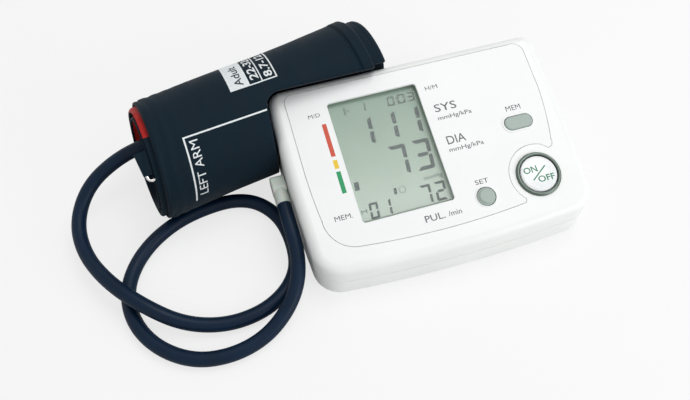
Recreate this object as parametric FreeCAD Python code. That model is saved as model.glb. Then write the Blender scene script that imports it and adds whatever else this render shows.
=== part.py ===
"""Upper-arm blood pressure monitor: a wedge-shaped desk unit, its air hose and its rolled arm cuff.

Frame: millimetres, +X to the user's right, +Y to the rear, +Z up. The origin is the centre of the
desk unit's base, on the surface that it stands on.
Run from the build folder. It writes one STEP file for each piece to parts/.
"""
import FreeCAD, Part
import math
import os

V = FreeCAD.Vector

# ---- driving dimensions: desk unit (mm, degrees) ----
HALF_WIDTH = 72.5          # widest half width, at the middle of the side
REAR_HALF_WIDTH = 71.4     # half width where side and rear edges would meet
FRONT_HALF_WIDTH = 70.4    # half width where side and front edges would meet
REAR_Y = 49.8
FRONT_CORNER_Y = -46.2
FRONT_Y = -49.8            # the front edge bows out to here
REAR_CORNER_R = 7.0
FRONT_CORNER_R = 14.0
FACE_TILT = 13.3           # the face rises to the rear
FACE_Z = 34.3              # height of the face plane above the origin
WALL = 2.4
FACE_WALL = 2.6            # thickness of the face, measured along its normal
TOP_EDGE_R = 5.0
BASE_EDGE_R = 2.0
PARTING_DEPTH = 9.7        # the shells part on a plane this far under the face
PARTING_GAP = 0.15         # each shell stops this far from the parting plane
TONGUE = 1.1
TONGUE_RISE = 1.6
FLOOR_TOP = 3.4
FLOOR_UNDER = 1.2          # the floor is recessed this much inside the base rim
RIM_WIDTH = 4.5

# ---- face layout, in face coordinates: x to the right, v up the slope from the origin ----
PANEL_THICKNESS = 1.2
PANEL_GAP = 0.3            # groove between the panel and the case
WINDOW_X = (-43.9, 2.8)
WINDOW_V = (-28.0, 36.2)
POWER_AT = (47.0, -26.4)
POWER_RING_R = 11.36
POWER_DISC_R = 9.3
SCOOP_AT = (47.9, -26.0)   # the panel's edge is scooped out round here, beside the power button
SCOOP_R = 15.6
MEM_AT = (47.1, 2.4)
MEM_SIZE = (14.6, 7.0)
SET_AT = (17.9, -30.6)
SET_R = 4.6
KEY_GAP = 0.35
POWER_TRAVEL = 0.8
KEY_TRAVEL = 0.6

# ---- inside the unit ----
BOARD_DEPTH = 8.6          # from the face to the top of the circuit board
BOARD_THICKNESS = 1.6
BAY_X = (-3.0, 55.0)
BAY_Y = (-13.0, 46.4)
CELL_D = 14.4
CELL_LENGTH = 50.5
CELL_PITCH = 14.6
CELL_AXIS_Z = 10.7
CONTACT = 0.5              # thickness of the battery contacts
PUMP_AXIS = (32.4, 15.4)   # y and z of the pump's axis, which lies along X
PUMP_R = 10.8
SOCKET_AT = (9.0, 20.0)    # y and z of the air socket, in the left wall
SOCKET_X = (-72.7, -71.5, -60.0)   # the flange's outer face, its shoulder and the barrel's end
SOCKET_R = 5.2
SOCKET_FLANGE_R = 6.0
SOCKET_BORE_R = 3.1
SCREW_POSTS = [(-57.0, -34.0), (57.0, -34.0), (-61.6, 38.6), (61.6, 38.6)]
FOOT_PADS = [(-42.0, -38.5), (42.0, -38.5), (-62.3, 24.0), (62.3, 24.0)]
FOOT_R = 4.5
BOARD_X = (-52.0, 52.0)
BOARD_V = (-34.5, 38.0)
BOARD_POSTS = [(-50.0, -32.5), (-50.0, 36.0), (50.0, -10.0), (50.0, 36.0)]
COVER_LIP_TOP = 13.0
PUMP_X = (-57.0, -45.5, -35.0, -9.5)      # head end, chamber, motor face, motor end
VALVE_BOX = (-44.5, -31.5, 3.0, 15.0, FLOOR_TOP, 19.9)
MANIFOLD_X = (-57.0, -49.5)
MANIFOLD_Z = (14.0, 24.6)
AIR_PORT_Z = 17.5          # the ways to the pump and to the valve
SENSOR_PORT_Z = 23.0       # the way to the pressure sensor
PORT_R = 1.8
SENSOR_PORT_R = 1.2
TUBE_WALL = 0.6

# ---- plug and air hose: points of the hose's route, from the plug to the cuff ----
PLUG_X = -76.7             # the plug's body and the hose's end lie along this line
PLUG_BODY_R = 3.7
PLUG_GRIP_HALF = 4.6
PLUG_GRIP_X = (-80.4, -73.3)
PLUG_GRIP_EDGE_R = 2.4
PLUG_GRIP_FACE_R = 1.0
PLUG_STUB_R = 3.0
SEAL_X = -68.0             # the groove of the plug's stub
SEAL_WIDTH = 1.2
HOSE_R = 3.6
HOSE_ROUTE = [
    (-76.7, -2.0, 20.0),
    (-76.7, -14.0, 20.0),
    (-76.5, -28.0, 15.6),
    (-80.4, -41.2, 11.0),
    (-89.4, -52.0, 6.6),
    (-102.4, -60.2, 3.8),
    (-118.6, -63.8, 3.7),
    (-135.6, -61.2, 3.7),
    (-150.5, -50.5, 3.7),
    (-159.4, -35.4, 3.7),
    (-160.6, -18.6, 3.7),
    (-154.6, -4.8, 3.7),
    (-143.8, 6.4, 3.7),
    (-129.4, 14.2, 3.7),
    (-114.0, 17.6, 3.7),
    (-99.4, 18.0, 3.7),
    (-87.6, 12.8, 3.7),
    (-79.4, 1.2, 3.7),
    (-76.7, -13.0, 3.7),
    (-77.9, -28.5, 3.7),
    (-86.2, -40.0, 3.7),
    (-100.2, -47.2, 3.7),
    (-118.5, -48.4, 3.7),
    (-137.0, -43.0, 6.4),
    (-152.6, -31.4, 12.4),
    (-166.8, -14.6, 12.4),
    (-176.5, 5.0, 9.6),
    (-178.0, 24.0, 10.8),
    (-168.5, 39.5, 17.0),
    (-151.0, 46.5, 24.0),
    (-134.0, 49.0, 27.0),
    (-119.0, 52.5, 27.4),
]

# ---- cuff: the axis of its roll from the left end to the right, as (x, y) ----
ROLL_R = 29.2
ROLL_AXIS = [(-150.0, 33.3), (0.0, 65.5)]
PRESS_X = -74.3            # to the right of here the desk unit presses the roll's near side in
PRESS_Y = 51.0             # as far as here, flat against the unit's rear wall
PRESS_Z = (14.0, 41.3)     # the flat's height: the roll rounds off under it and leans out over it
PRESS_SLOPE = 0.71         # how fast the flat gives way below
PRESS_LEAN = 0.568         # how far the roll leans out above, for each unit of height
LEFT_LEAN = 0.15           # the left end leans: its top and its near side are the further right
# depths of each layer, measured in from the outside
WRAP = (0.0, 2.4)
SLEEVE = (2.6, 4.2)
MIDDLE = (4.3, 6.3)        # the air bag, the hook and loop patches and the metal ring share this depth
LINING = (6.4, 7.6)
RING_WIRE_R = 0.85
RING_X = (-139.6, -109.6)
RING_ANGLES = (31, 45, 59)     # degrees from the roll's foremost line, the lowest first
RING_CORNER_R = 2.2
RING_SIDE_R = 20.0


# ---- helpers ----
def box(x0, x1, y0, y1, z0, z1):
    return Part.makeBox(x1 - x0, y1 - y0, z1 - z0, V(x0, y0, z0))


def cylinder(radius, start, end):
    """A round bar between two points."""
    axis = V(*end) - V(*start)
    return Part.makeCylinder(radius, axis.Length, V(*start), axis)


def fused(shapes):
    """All the shapes as one solid."""
    whole = shapes[0]
    for other in shapes[1:]:
        whole = whole.fuse(other)
    return whole.removeSplitter()


def turned(profile, axis_start, axis_direction):
    """A closed profile of points, revolved a full turn."""
    points = [V(*p) for p in profile]
    face = Part.Face(Part.makePolygon(points + points[:1]))
    return face.revolve(V(*axis_start), V(*axis_direction), 360)


def pill(centre, size, low, high):
    """An upright slot-shaped block: size is (length along x, width), with round ends."""
    length, width = size
    radius = width / 2
    reach = length / 2 - radius
    middle = box(centre[0] - reach, centre[0] + reach, centre[1] - radius, centre[1] + radius, low, high)
    ends = [upright((centre[0] + side * reach, centre[1]), radius, low, high) for side in (-1, 1)]
    return fused([middle] + ends)


def arc(a, b, c):
    """The arc from a through b to c."""
    return Part.Arc(V(*a), V(*b), V(*c)).toShape()


def segment(a, b):
    return Part.LineSegment(V(*a), V(*b)).toShape()


def save(name, pieces):
    """One STEP file for a piece, or for a set of like pieces."""
    shape = Part.makeCompound(pieces) if isinstance(pieces, list) else pieces
    shape.exportStep("parts/" + name + ".step")


# The face frame: local z is the face's outward normal, and local z = 0 is the face.
FACE = FreeCAD.Placement(V(0, 0, FACE_Z), FreeCAD.Rotation(V(1, 0, 0), FACE_TILT))


def on_face(shape):
    """A shape drawn in face coordinates, put in its place on the unit."""
    placed = shape.copy()
    placed.Placement = FACE.multiply(placed.Placement)
    return placed


def under_face(low, high):
    """A slab between two depths that are measured along the face's normal."""
    return on_face(box(-150, 150, -150, 150, low, high))


# ---- the unit's body ----
def plan_outline(inset, z):
    """The four edges of the unit in plan: straight rear, bowed sides and bowed front."""
    rear = REAR_HALF_WIDTH - inset
    front = FRONT_HALF_WIDTH - inset
    widest = HALF_WIDTH - inset
    rear_y, corner_y, front_y = REAR_Y - inset, FRONT_CORNER_Y + inset, FRONT_Y + inset
    return Part.Wire([
        segment((rear, rear_y, z), (-rear, rear_y, z)),
        arc((-rear, rear_y, z), (-widest, 0, z), (-front, corner_y, z)),
        arc((-front, corner_y, z), (0, front_y, z), (front, corner_y, z)),
        arc((front, corner_y, z), (widest, 0, z), (rear, rear_y, z)),
    ])


def corner_edges(body, side):
    """The upright edges at the rear corners (side 1) or the front corners (side -1)."""
    return [e for e in body.Edges if e.BoundBox.ZLength > 30 and e.CenterOfMass.y * side > 30]


def unit_body(inset, low, face_depth, edge_r=0.0):
    """The unit's outline, shrunk by inset, drawn up from low to a depth under the face."""
    body = Part.Face(plan_outline(inset, low)).extrude(V(0, 0, 60))
    body = body.makeFillet(REAR_CORNER_R - inset, corner_edges(body, 1))
    body = body.makeFillet(FRONT_CORNER_R - inset, corner_edges(body, -1))
    body = body.cut(under_face(-face_depth, 100))
    if edge_r:
        to_face = FACE.inverse()
        top = [e for e in body.Edges
               if all(abs(to_face.multVec(v.Point).z + face_depth) < 1e-4 for v in e.Vertexes)]
        body = body.makeFillet(edge_r, top)
    return body


def outer_form():
    """The unit's outside, with its base edge rounded."""
    body = unit_body(0, 0, 0)
    return body.makeFillet(BASE_EDGE_R, [e for e in body.Edges if e.BoundBox.ZMax < 0.1])


def panel_outline(grow):
    """The face panel's edge: round corners, sides that ease in, and a scoop beside the power button."""
    right = 64.0
    left = -63.9
    top = 45.2
    start, middle, end = (scoop_point(angle) for angle in (66, 144, 222))
    points = [
        ("line", (left + 4.5, top), (right - 5.5, top)),
        ("arc", (right - 5.5, top), (right - 1.6, top - 1.6), (right, top - 5.5)),
        ("line", (right, top - 5.5), (right, 18.0)),
        ("arc", (right, 18.0), (62.6, 4.0), (59.9, -10.6)),
        ("arc", (59.9, -10.6), (59.1, -13.4), (57.0, -14.3)),
        ("line", (57.0, -14.3), start),
        ("arc", start, middle, end),
        ("arc", end, (36.3, -37.7), (34.6, -38.6)),
        ("arc", (34.6, -38.6), (-4.0, -40.5), (-47.0, -38.2)),
        ("arc", (-47.0, -38.2), (-57.7, -33.7), (-62.3, -22.0)),
        ("arc", (-62.3, -22.0), (-63.5, -8.0), (left, 6.0)),
        ("line", (left, 6.0), (left, top - 4.5)),
        ("arc", (left, top - 4.5), (left + 1.3, top - 1.3), (left + 4.5, top)),
    ]
    edges = []
    for kind, *pts in points:
        flat = [(p[0], p[1], 0) for p in pts]
        edges.append(arc(*flat) if kind == "arc" else segment(*flat))
    wire = Part.Wire(edges)
    return wire.makeOffset2D(grow) if grow else wire


def scoop_point(angle):
    turn = math.radians(angle)
    return (SCOOP_AT[0] + SCOOP_R * math.cos(turn), SCOOP_AT[1] + SCOOP_R * math.sin(turn))


def slab(wire, low, high):
    """A flat outline made a plate between two heights."""
    face = Part.Face(wire)
    face.translate(V(0, 0, low))
    return face.extrude(V(0, 0, high - low))


def rounded_window(grow, low, high, radius=1.8):
    """The display window as a block with round corners."""
    block = box(WINDOW_X[0] - grow, WINDOW_X[1] + grow, WINDOW_V[0] - grow, WINDOW_V[1] + grow, low, high)
    uprights = [e for e in block.Edges if abs(e.Vertexes[0].Z - e.Vertexes[-1].Z) > 1e-6]
    return block.makeFillet(radius, uprights)


# ---- desk unit: shells ----
def mem_hole(grow, low, high):
    return pill(MEM_AT, (MEM_SIZE[0] + 2 * grow, MEM_SIZE[1] + 2 * grow), low, high)


def upright(at, radius, low, high):
    """A round bar square to the face, in face coordinates."""
    return cylinder(radius, (at[0], at[1], low), (at[0], at[1], high))


def make_upper_housing():
    outer = unit_body(0, 0, 0, TOP_EDGE_R)
    inner = unit_body(WALL, -5, FACE_WALL)
    shell = outer.cut(inner).common(under_face(-PARTING_DEPTH + PARTING_GAP, 20))
    rebate = unit_body(WALL - TONGUE - 0.1, -5, FACE_WALL)
    rebate_top = -PARTING_DEPTH + TONGUE_RISE + 0.4
    shell = shell.cut(rebate.common(under_face(-PARTING_DEPTH - 1, rebate_top)))
    # the panel's bed, the window, the key holes and the seat of the power button's ring
    under = -FACE_WALL - 1
    cuts = [slab(panel_outline(PANEL_GAP), -PANEL_THICKNESS, 1.0), rounded_window(0.5, under, 0.0)]
    cuts.append(mem_hole(KEY_GAP + 0.3, under, 0.0))
    cuts.append(upright(SET_AT, SET_R + KEY_GAP + 0.3, under, 0.0))
    cuts.append(upright(POWER_AT, POWER_RING_R + 0.05, -PANEL_THICKNESS, 2.0))
    cuts.append(upright(POWER_AT, POWER_DISC_R + 0.3, under, 0.0))
    for tool in cuts:
        shell = shell.cut(on_face(tool))
    # a wall round the display's well, the screw bosses and the posts that the board rests on
    well = window_box(2.6, -6.4, -FACE_WALL).cut(window_box(1.4, -7, 0))
    added = [on_face(well)]
    for x, y in SCREW_POSTS:
        boss = cylinder(3.4, (x, y, 8.3), (x, y, 60)).common(inner)
        added.append(boss.cut(cylinder(1.3, (x, y, 0), (x, y, 20))))
    added += [on_face(upright(at, 2.3, -BOARD_DEPTH, -FACE_WALL)) for at in BOARD_POSTS]
    relief = on_face(upright(POWER_AT, POWER_DISC_R + 1.5, -5.2, -FACE_WALL))
    return fused([shell] + added).cut(relief)


def bay_cover_profile(gap):
    """The battery cover's section across X: its upper half is wider and rides in the floor's grooves."""
    x0, x1 = BAY_X
    low, step, high = FLOOR_UNDER, 2.3, FLOOR_TOP
    x_in, x_out = (x0 + gap, x1 - gap), (x0 - 2.0 + gap, x1 + 2.0 - gap)
    return [(x_in[0], low), (x_in[1], low), (x_in[1], step + gap), (x_out[1], step + gap),
            (x_out[1], high - gap), (x_out[0], high - gap), (x_out[0], step + gap), (x_in[0], step + gap)]


def along_y(profile, y0, y1):
    """A profile of (x, z) points drawn out from y0 to y1."""
    points = [V(x, y0, z) for x, z in profile]
    return Part.Face(Part.makePolygon(points + points[:1])).extrude(V(0, y1 - y0, 0))


def base_recess():
    """The shallow hollow of the underside, inside the rim that the unit stands on."""
    return unit_body(RIM_WIDTH, -5, FACE_WALL).common(box(-90, 90, -70, 70, -5, FLOOR_UNDER))


def make_lower_housing():
    outer = outer_form()
    inner = unit_body(WALL, FLOOR_TOP, FACE_WALL)
    shell = outer.cut(inner).common(under_face(-120, -PARTING_DEPTH - PARTING_GAP))
    tongue = unit_body(WALL - TONGUE, 0, 0).cut(inner)
    tongue = tongue.common(under_face(-PARTING_DEPTH - 3, -PARTING_DEPTH + TONGUE_RISE))
    shell = shell.fuse(tongue).cut(base_recess())
    x0, x1 = BAY_X
    y0, y1 = BAY_Y
    roof_z = CELL_AXIS_Z + CELL_D / 2 + 0.3
    # the battery bay: a thick border for the cover's grooves, then walls and a roof
    border = box(x0 - 3.4, x1 + 3.4, y0 - 3.4, y1 + 0.6, FLOOR_UNDER, FLOOR_TOP + 1.4)
    bay = box(x0 - 1.2, x1 + 1.2, y0 - 1.2, y1 + 0.6, FLOOR_TOP, roof_z + 1.0)
    added = [border.common(outer), bay.common(outer)]
    for x, y in SCREW_POSTS:
        added.append(cylinder(4.2, (x, y, FLOOR_UNDER), (x, y, 8.0)))
    for x, y in FOOT_PADS:
        added.append(cylinder(FOOT_R + 1.5, (x, y, 0), (x, y, FLOOR_TOP)).common(outer))
    for x in (-51.0, -16.0):
        added.append(box(x - 1, x + 1, 24.0, 40.8, FLOOR_TOP - 0.5, 9.0))
    for y in (-30.0, -18.0, -6.0):
        added.append(box(-60, -10, y - 0.6, y + 0.6, FLOOR_TOP - 0.2, FLOOR_TOP + 1.6))
    shell = fused([shell] + added)
    # the cover's grooves and its way out to the rear, the bay's hollow, the holes and the pump's cradles
    cuts = [along_y(bay_cover_profile(0.0), y0 - 1.4, REAR_Y + 3), box(x0, x1, y0, y1, 0, roof_z)]
    cuts.append(box(x0, x1, y1 - 1, REAR_Y + 3, -1, COVER_LIP_TOP + 0.3))
    for x, y in SCREW_POSTS:
        cuts += [cylinder(1.7, (x, y, 0), (x, y, 9)), cylinder(3.2, (x, y, 0), (x, y, 5.2))]
    for x, y in FOOT_PADS:
        cuts.append(cylinder(FOOT_R + 0.1, (x, y, -1), (x, y, 1.0)))
    y, z = SOCKET_AT
    cuts.append(cylinder(SOCKET_R, (-80, y, z), (SOCKET_X[2], y, z)))
    cuts.append(cylinder(SOCKET_FLANGE_R + 0.1, (-80, y, z), (SOCKET_X[1], y, z)))
    y, z = PUMP_AXIS
    cuts.append(cylinder(PUMP_R, (PUMP_X[1], y, z), (PUMP_X[3], y, z)))
    cuts.append(pump_block())
    for tool in cuts:
        shell = shell.cut(tool)
    return shell.removeSplitter()


def make_battery_cover():
    """A plate on rails, with a lip up the rear wall, a foot in the rim and grooves for the thumb."""
    x0, x1 = BAY_X
    plate = along_y(bay_cover_profile(0.3), BAY_Y[0] - 1.1, REAR_Y - 3.0)
    lip = box(x0 + 0.3, x1 - 0.3, REAR_Y - WALL, REAR_Y, FLOOR_UNDER, COVER_LIP_TOP)
    foot = box(x0 + 0.3, x1 - 0.3, REAR_Y - 4.0, REAR_Y, 0, FLOOR_TOP - 0.3)
    cover = fused([plate, lip, foot]).common(outer_form())
    for i in range(5):
        y = 26.0 + 2.6 * i
        cover = cover.cut(box(x0 + 20, x1 - 20, y - 0.5, y + 0.5, 0, FLOOR_UNDER + 0.4))
    return cover


def make_face_panel():
    panel = slab(panel_outline(0), -PANEL_THICKNESS, 0.0)
    panel = panel.cut(rounded_window(0.0, -2, 1))
    rim = pill(MEM_AT, (MEM_SIZE[0] + 2.4, MEM_SIZE[1] + 2.4), -0.6, 0.35)
    collar = upright(SET_AT, SET_R + 0.9, -0.6, 0.25)
    panel = fused([panel, rim, collar])
    panel = panel.cut(mem_hole(KEY_GAP, -2, 1)).cut(upright(SET_AT, SET_R + KEY_GAP, -2, 1))
    return on_face(panel)


# ---- desk unit: keys ----
def key_profile(radius, flange_r, top, wall, stem_bottom):
    """Half section of a round key, as (distance from the axis, height) points."""
    flange = -wall - 0.35
    return [(0, top), (radius - 1.2, top), (radius - 0.3, top - 0.25), (radius, top - 0.8),
            (radius, flange), (flange_r, flange), (flange_r, flange - 0.9), (2.4, flange - 0.9),
            (2.4, stem_bottom), (0, stem_bottom)]


def round_key(at, profile):
    solid = turned([(r, 0, z) for r, z in profile], (0, 0, 0), (0, 0, 1))
    solid.translate(V(at[0], at[1], 0))
    return on_face(solid)


def make_power_button():
    dome = [(0, 1.6), (5.0, 1.5)] + key_profile(POWER_DISC_R, POWER_DISC_R + 1.0, 1.2, FACE_WALL, -6.0)[1:]
    return round_key(POWER_AT, dome)


def make_power_ring():
    inner, outer, bed = POWER_DISC_R + 0.35, POWER_RING_R, -PANEL_THICKNESS
    profile = [(inner, bed), (inner, 0.9), (inner + 0.45, 1.35), (outer - 0.7, 1.35), (outer - 0.2, 1.0),
               (outer, 0.5), (outer, bed)]
    return round_key(POWER_AT, profile)


def make_mem_button():
    top = pill(MEM_AT, MEM_SIZE, -FACE_WALL - 0.5, 0.8)
    crown = [e for e in top.Edges if all(abs(v.Z - 0.8) < 1e-6 for v in e.Vertexes)]
    flange = pill(MEM_AT, (MEM_SIZE[0] + 2.4, MEM_SIZE[1] + 2.4), -FACE_WALL - 1.4, -FACE_WALL - 0.35)
    stem = upright(MEM_AT, 2.0, -6.0, -FACE_WALL - 1.0)
    return on_face(fused([top.makeChamfer(0.5, crown), flange, stem]))


def make_set_button():
    profile = [(0, 1.15), (3.2, 1.15), (3.7, 0.7), (3.75, 0.35), (SET_R - 0.3, 0.3), (SET_R, 0.0),
               (SET_R, -FACE_WALL - 0.35), (SET_R + 1.0, -FACE_WALL - 0.35), (SET_R + 1.0, -FACE_WALL - 1.3),
               (2.0, -FACE_WALL - 1.3), (2.0, -6.0), (0, -6.0)]
    return round_key(SET_AT, profile)


# ---- desk unit: display and circuit board ----
def window_box(grow, low, high):
    return box(WINDOW_X[0] - grow, WINDOW_X[1] + grow, WINDOW_V[0] - grow, WINDOW_V[1] + grow, low, high)


def make_lcd_lens():
    return on_face(window_box(1.2, -3.4, -FACE_WALL - 0.02))


def make_lcd_glass():
    rear = window_box(0.9, -5.6, -4.5)
    front = window_box(0.9, -4.5, -3.45)
    ledge = box(WINDOW_X[0] - 2, WINDOW_X[1] + 2, WINDOW_V[0] - 2, WINDOW_V[0] + 1.6, -5.0, -3.0)
    return on_face(fused([rear, front.cut(ledge)]))


def make_lcd_frame():
    frame = window_box(1.3, -BOARD_DEPTH, -5.65).cut(window_box(-2.5, -9, -5))
    slots = [box(WINDOW_X[0] + 2, WINDOW_X[1] - 2, v - 1.1, v + 1.1, -9, -5)
             for v in (WINDOW_V[0] + 0.9, WINDOW_V[1] - 0.9)]
    for slot in slots:
        frame = frame.cut(slot)
    return on_face(frame)


def make_zebra_strips():
    return [on_face(box(WINDOW_X[0] + 2.2, WINDOW_X[1] - 2.2, v - 1.0, v + 1.0, -BOARD_DEPTH, -5.6))
            for v in (WINDOW_V[0] + 0.9, WINDOW_V[1] - 0.9)]


def make_circuit_board():
    return on_face(box(*BOARD_X, *BOARD_V, -BOARD_DEPTH - BOARD_THICKNESS, -BOARD_DEPTH))


def make_key_switches():
    """Square tact switches with a round plunger, one under each key."""
    switches = []
    for (x, v), travel in ((POWER_AT, POWER_TRAVEL), (MEM_AT, KEY_TRAVEL), (SET_AT, KEY_TRAVEL)):
        base = box(x - 3, x + 3, v - 3, v + 3, -BOARD_DEPTH, -BOARD_DEPTH + 1.3)
        plunger = upright((x, v), 1.6, -BOARD_DEPTH + 1.2, -6.05 - travel)
        switches.append(on_face(fused([base, plunger])))
    return switches


def make_board_chips():
    low = -BOARD_DEPTH - BOARD_THICKNESS
    sizes = ((-20, -12, 7, 7, 1.6), (8, -24, 4, 3, 1.4), (30, 30, 3, 2, 1.2), (-38, -24, 5, 4, 3.0))
    return [on_face(box(x - a, x + a, v - b, v + b, low - height, low)) for x, v, a, b, height in sizes]


def make_buzzer():
    """A round sounder under the board."""
    low = -BOARD_DEPTH - BOARD_THICKNESS
    return on_face(upright((-38.0, -12.0), 6.0, low - 4.5, low))


def make_pressure_sensor():
    """A square sensor under the board, with its port to the left."""
    low = -BOARD_DEPTH - BOARD_THICKNESS
    body = on_face(box(-40, -30, 2.0, 10.4, low - 4.7, low))
    y = SOCKET_AT[0]
    return fused([body, cylinder(SENSOR_PORT_R, (-43.5, y, SENSOR_PORT_Z), (-39, y, SENSOR_PORT_Z))])


# ---- desk unit: air system ----
def pump_block():
    """The outer form of the pump's valve block."""
    y, z = PUMP_AXIS
    return box(PUMP_X[0], PUMP_X[1], y - 9.5, y + 9.5, z - 9.5, z + 9.5)


def make_pump_motor():
    """A flat-sided can with a nose for the front bearing and a cap for the rear one."""
    y, z = PUMP_AXIS
    face, end = PUMP_X[2:]
    can = cylinder(PUMP_R, (face + 2.0, y, z), (end, y, z))
    nose = cylinder(4.0, (face, y, z), (face + 2.0, y, z))
    cap = cylinder(3.2, (end, y, z), (end + 1.4, y, z))
    flat = box(face - 1, end + 2, y - 20, y - PUMP_R + 1.2, z - 20, z + 20)
    return fused([can, nose, cap]).cut(flat).cut(cylinder(1.06, (face - 1, y, z), (end + 5, y, z)))


def make_pump_head():
    """The valve block with its outlet spigot, and the chamber round the crank, open to the motor."""
    y, z = PUMP_AXIS
    start, chamber_x, face = PUMP_X[:3]
    chamber = cylinder(PUMP_R, (chamber_x - 0.5, y, z), (face + 2.0, y, z))
    chamber = chamber.cut(cylinder(8.6, (chamber_x + 1.0, y, z), (face + 3, y, z)))
    collar = cylinder(8.7, (face + 0.4, y, z), (face + 2.0, y, z))
    collar = collar.cut(cylinder(4.0, (face, y, z), (face + 3, y, z)))
    x = sum(MANIFOLD_X) / 2
    spigot = cylinder(PORT_R, (x, y - 9, AIR_PORT_Z), (x, y - 13, AIR_PORT_Z))
    return fused([pump_block(), chamber, collar, spigot])


def make_motor_shaft():
    y, z = PUMP_AXIS
    return cylinder(1.0, (PUMP_X[1] + 2.6, y, z), (PUMP_X[3] + 2.4, y, z))


def make_pump_crank():
    """The hub with the off-centre pin that drives the diaphragms."""
    y, z = PUMP_AXIS
    x = PUMP_X[2] - 1.0
    hub = cylinder(4.4, (x - 2.4, y, z), (x, y, z))
    pin = cylinder(2.6, (x - 5.0, y + 1.4, z), (x - 2.3, y + 1.4, z))
    return fused([hub, pin]).cut(cylinder(1.01, (x - 6, y, z), (x + 1, y, z)))


def make_exhaust_valve():
    """A square valve body with its port to the left."""
    x, y = VALVE_BOX[0], SOCKET_AT[0]
    return fused([box(*VALVE_BOX), cylinder(PORT_R, (x - 1.8, y, AIR_PORT_Z), (x + 1, y, AIR_PORT_Z))])


def make_air_manifold():
    """A block that joins the socket, the pump, the valve and the sensor."""
    y = SOCKET_AT[0]
    x0, x1 = MANIFOLD_X
    x = (x0 + x1) / 2
    ports = [cylinder(PORT_R, (x, y, AIR_PORT_Z), (x, y + 7.5, AIR_PORT_Z)),
             cylinder(PORT_R, (x1 - 1, y, AIR_PORT_Z), (x1 + 1.8, y, AIR_PORT_Z)),
             cylinder(SENSOR_PORT_R, (x1 - 1, y, SENSOR_PORT_Z), (x1 + 3, y, SENSOR_PORT_Z))]
    return fused([box(x0, x1, y - 4, y + 4, *MANIFOLD_Z)] + ports)


def make_inner_tubes():
    """Three short soft tubes between facing ports. Each is pushed over both."""
    y = SOCKET_AT[0]
    x0, x1 = MANIFOLD_X
    x = (x0 + x1) / 2
    runs = [((x, y + 4, AIR_PORT_Z), (x, PUMP_AXIS[0] - 9.5, AIR_PORT_Z), PORT_R),
            ((x1, y, AIR_PORT_Z), (VALVE_BOX[0], y, AIR_PORT_Z), PORT_R),
            ((x1, y, SENSOR_PORT_Z), (-40.2, y, SENSOR_PORT_Z), SENSOR_PORT_R)]
    return [cylinder(bore + TUBE_WALL, a, b).cut(cylinder(bore, a, b)) for a, b, bore in runs]


def rounded_runs(points, radii):
    """Edges of a route: straight runs, with an arc of the given radius at each inner point."""
    at = [V(*p) for p in points]
    edges, start = [], at[0]
    for before, corner, after, radius in zip(at, at[1:], at[2:], radii):
        back = (before - corner).normalize()
        on = (after - corner).normalize()
        half_turn = (math.pi - back.getAngle(on)) / 2
        reach = radius * math.tan(half_turn)
        inward = (back + on).normalize()
        middle = corner + inward * (radius / math.cos(half_turn) - radius)
        first, last = corner + back * reach, corner + on * reach
        edges.append(Part.LineSegment(start, first).toShape())
        edges.append(Part.Arc(first, middle, last).toShape())
        start = last
    edges.append(Part.LineSegment(start, at[-1]).toShape())
    return edges


def swept(radius, edges):
    """A round solid along a chain of edges."""
    start = edges[0].Vertexes[0].Point
    tangent = edges[0].tangentAt(edges[0].FirstParameter)
    section = Part.Wire(Part.Circle(start, tangent, radius).toShape())
    return Part.Wire(edges).makePipeShell([section], True, False)


def make_air_socket():
    """The flanged tube in the left wall that the hose plug pushes into."""
    y, z = SOCKET_AT
    face, shoulder, end = SOCKET_X
    flange = cylinder(SOCKET_FLANGE_R, (face, y, z), (shoulder, y, z))
    barrel = cylinder(SOCKET_R, (shoulder, y, z), (end, y, z))
    tail = cylinder(3.0, (end - 0.5, y, z), (MANIFOLD_X[0], y, z))
    bore = cylinder(SOCKET_BORE_R, (face - 1, y, z), (end - 0.8, y, z))
    return fused([flange, barrel, tail]).cut(bore).cut(cylinder(1.2, (end - 2, y, z), (-50, y, z)))


# ---- desk unit: batteries, feet and screws ----
def cell_centres():
    """y of the four cells' axes, from the front to the rear."""
    first = (BAY_Y[0] + BAY_Y[1]) / 2 - 1.5 * CELL_PITCH
    return [first + i * CELL_PITCH for i in range(4)]


def make_battery_cells():
    """Four cells side by side, every second one turned round."""
    cells = []
    for i, y in enumerate(cell_centres()):
        tip_x, way = (BAY_X[1] - CONTACT, -1) if i % 2 else (BAY_X[0] + CONTACT, 1)
        shoulder = tip_x + way * 1.3
        can = cylinder(CELL_D / 2, (shoulder, y, CELL_AXIS_Z), (tip_x + way * CELL_LENGTH, y, CELL_AXIS_Z))
        cells.append(fused([can, cylinder(2.7, (tip_x, y, CELL_AXIS_Z), (shoulder, y, CELL_AXIS_Z))]))
    return cells


def make_battery_springs():
    """The spring at the flat end of each cell, as the bar that it turns round."""
    springs = []
    for i, y in enumerate(cell_centres()):
        x, way = (BAY_X[0] + CONTACT, 1) if i % 2 else (BAY_X[1] - CONTACT, -1)
        reach = BAY_X[1] - BAY_X[0] - 2 * CONTACT - CELL_LENGTH
        springs.append(cylinder(3.2, (x, y, CELL_AXIS_Z), (x + way * reach, y, CELL_AXIS_Z)))
    return springs


def make_battery_contacts():
    """Thin plates on the bay's end walls. They join the cells in series."""
    rows = cell_centres()
    half = 5.5
    low, high = CELL_AXIS_Z - half, CELL_AXIS_Z + half
    left = [(BAY_X[0], BAY_X[0] + CONTACT, first, last) for first, last in ((0, 0), (1, 2), (3, 3))]
    right = [(BAY_X[1] - CONTACT, BAY_X[1], first, last) for first, last in ((0, 1), (2, 3))]
    return [box(x0, x1, rows[a] - half, rows[b] + half, low, high) for x0, x1, a, b in left + right]


def make_foot_pads():
    return [cylinder(FOOT_R, (x, y, 0), (x, y, 1.0)) for x, y in FOOT_PADS]


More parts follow.
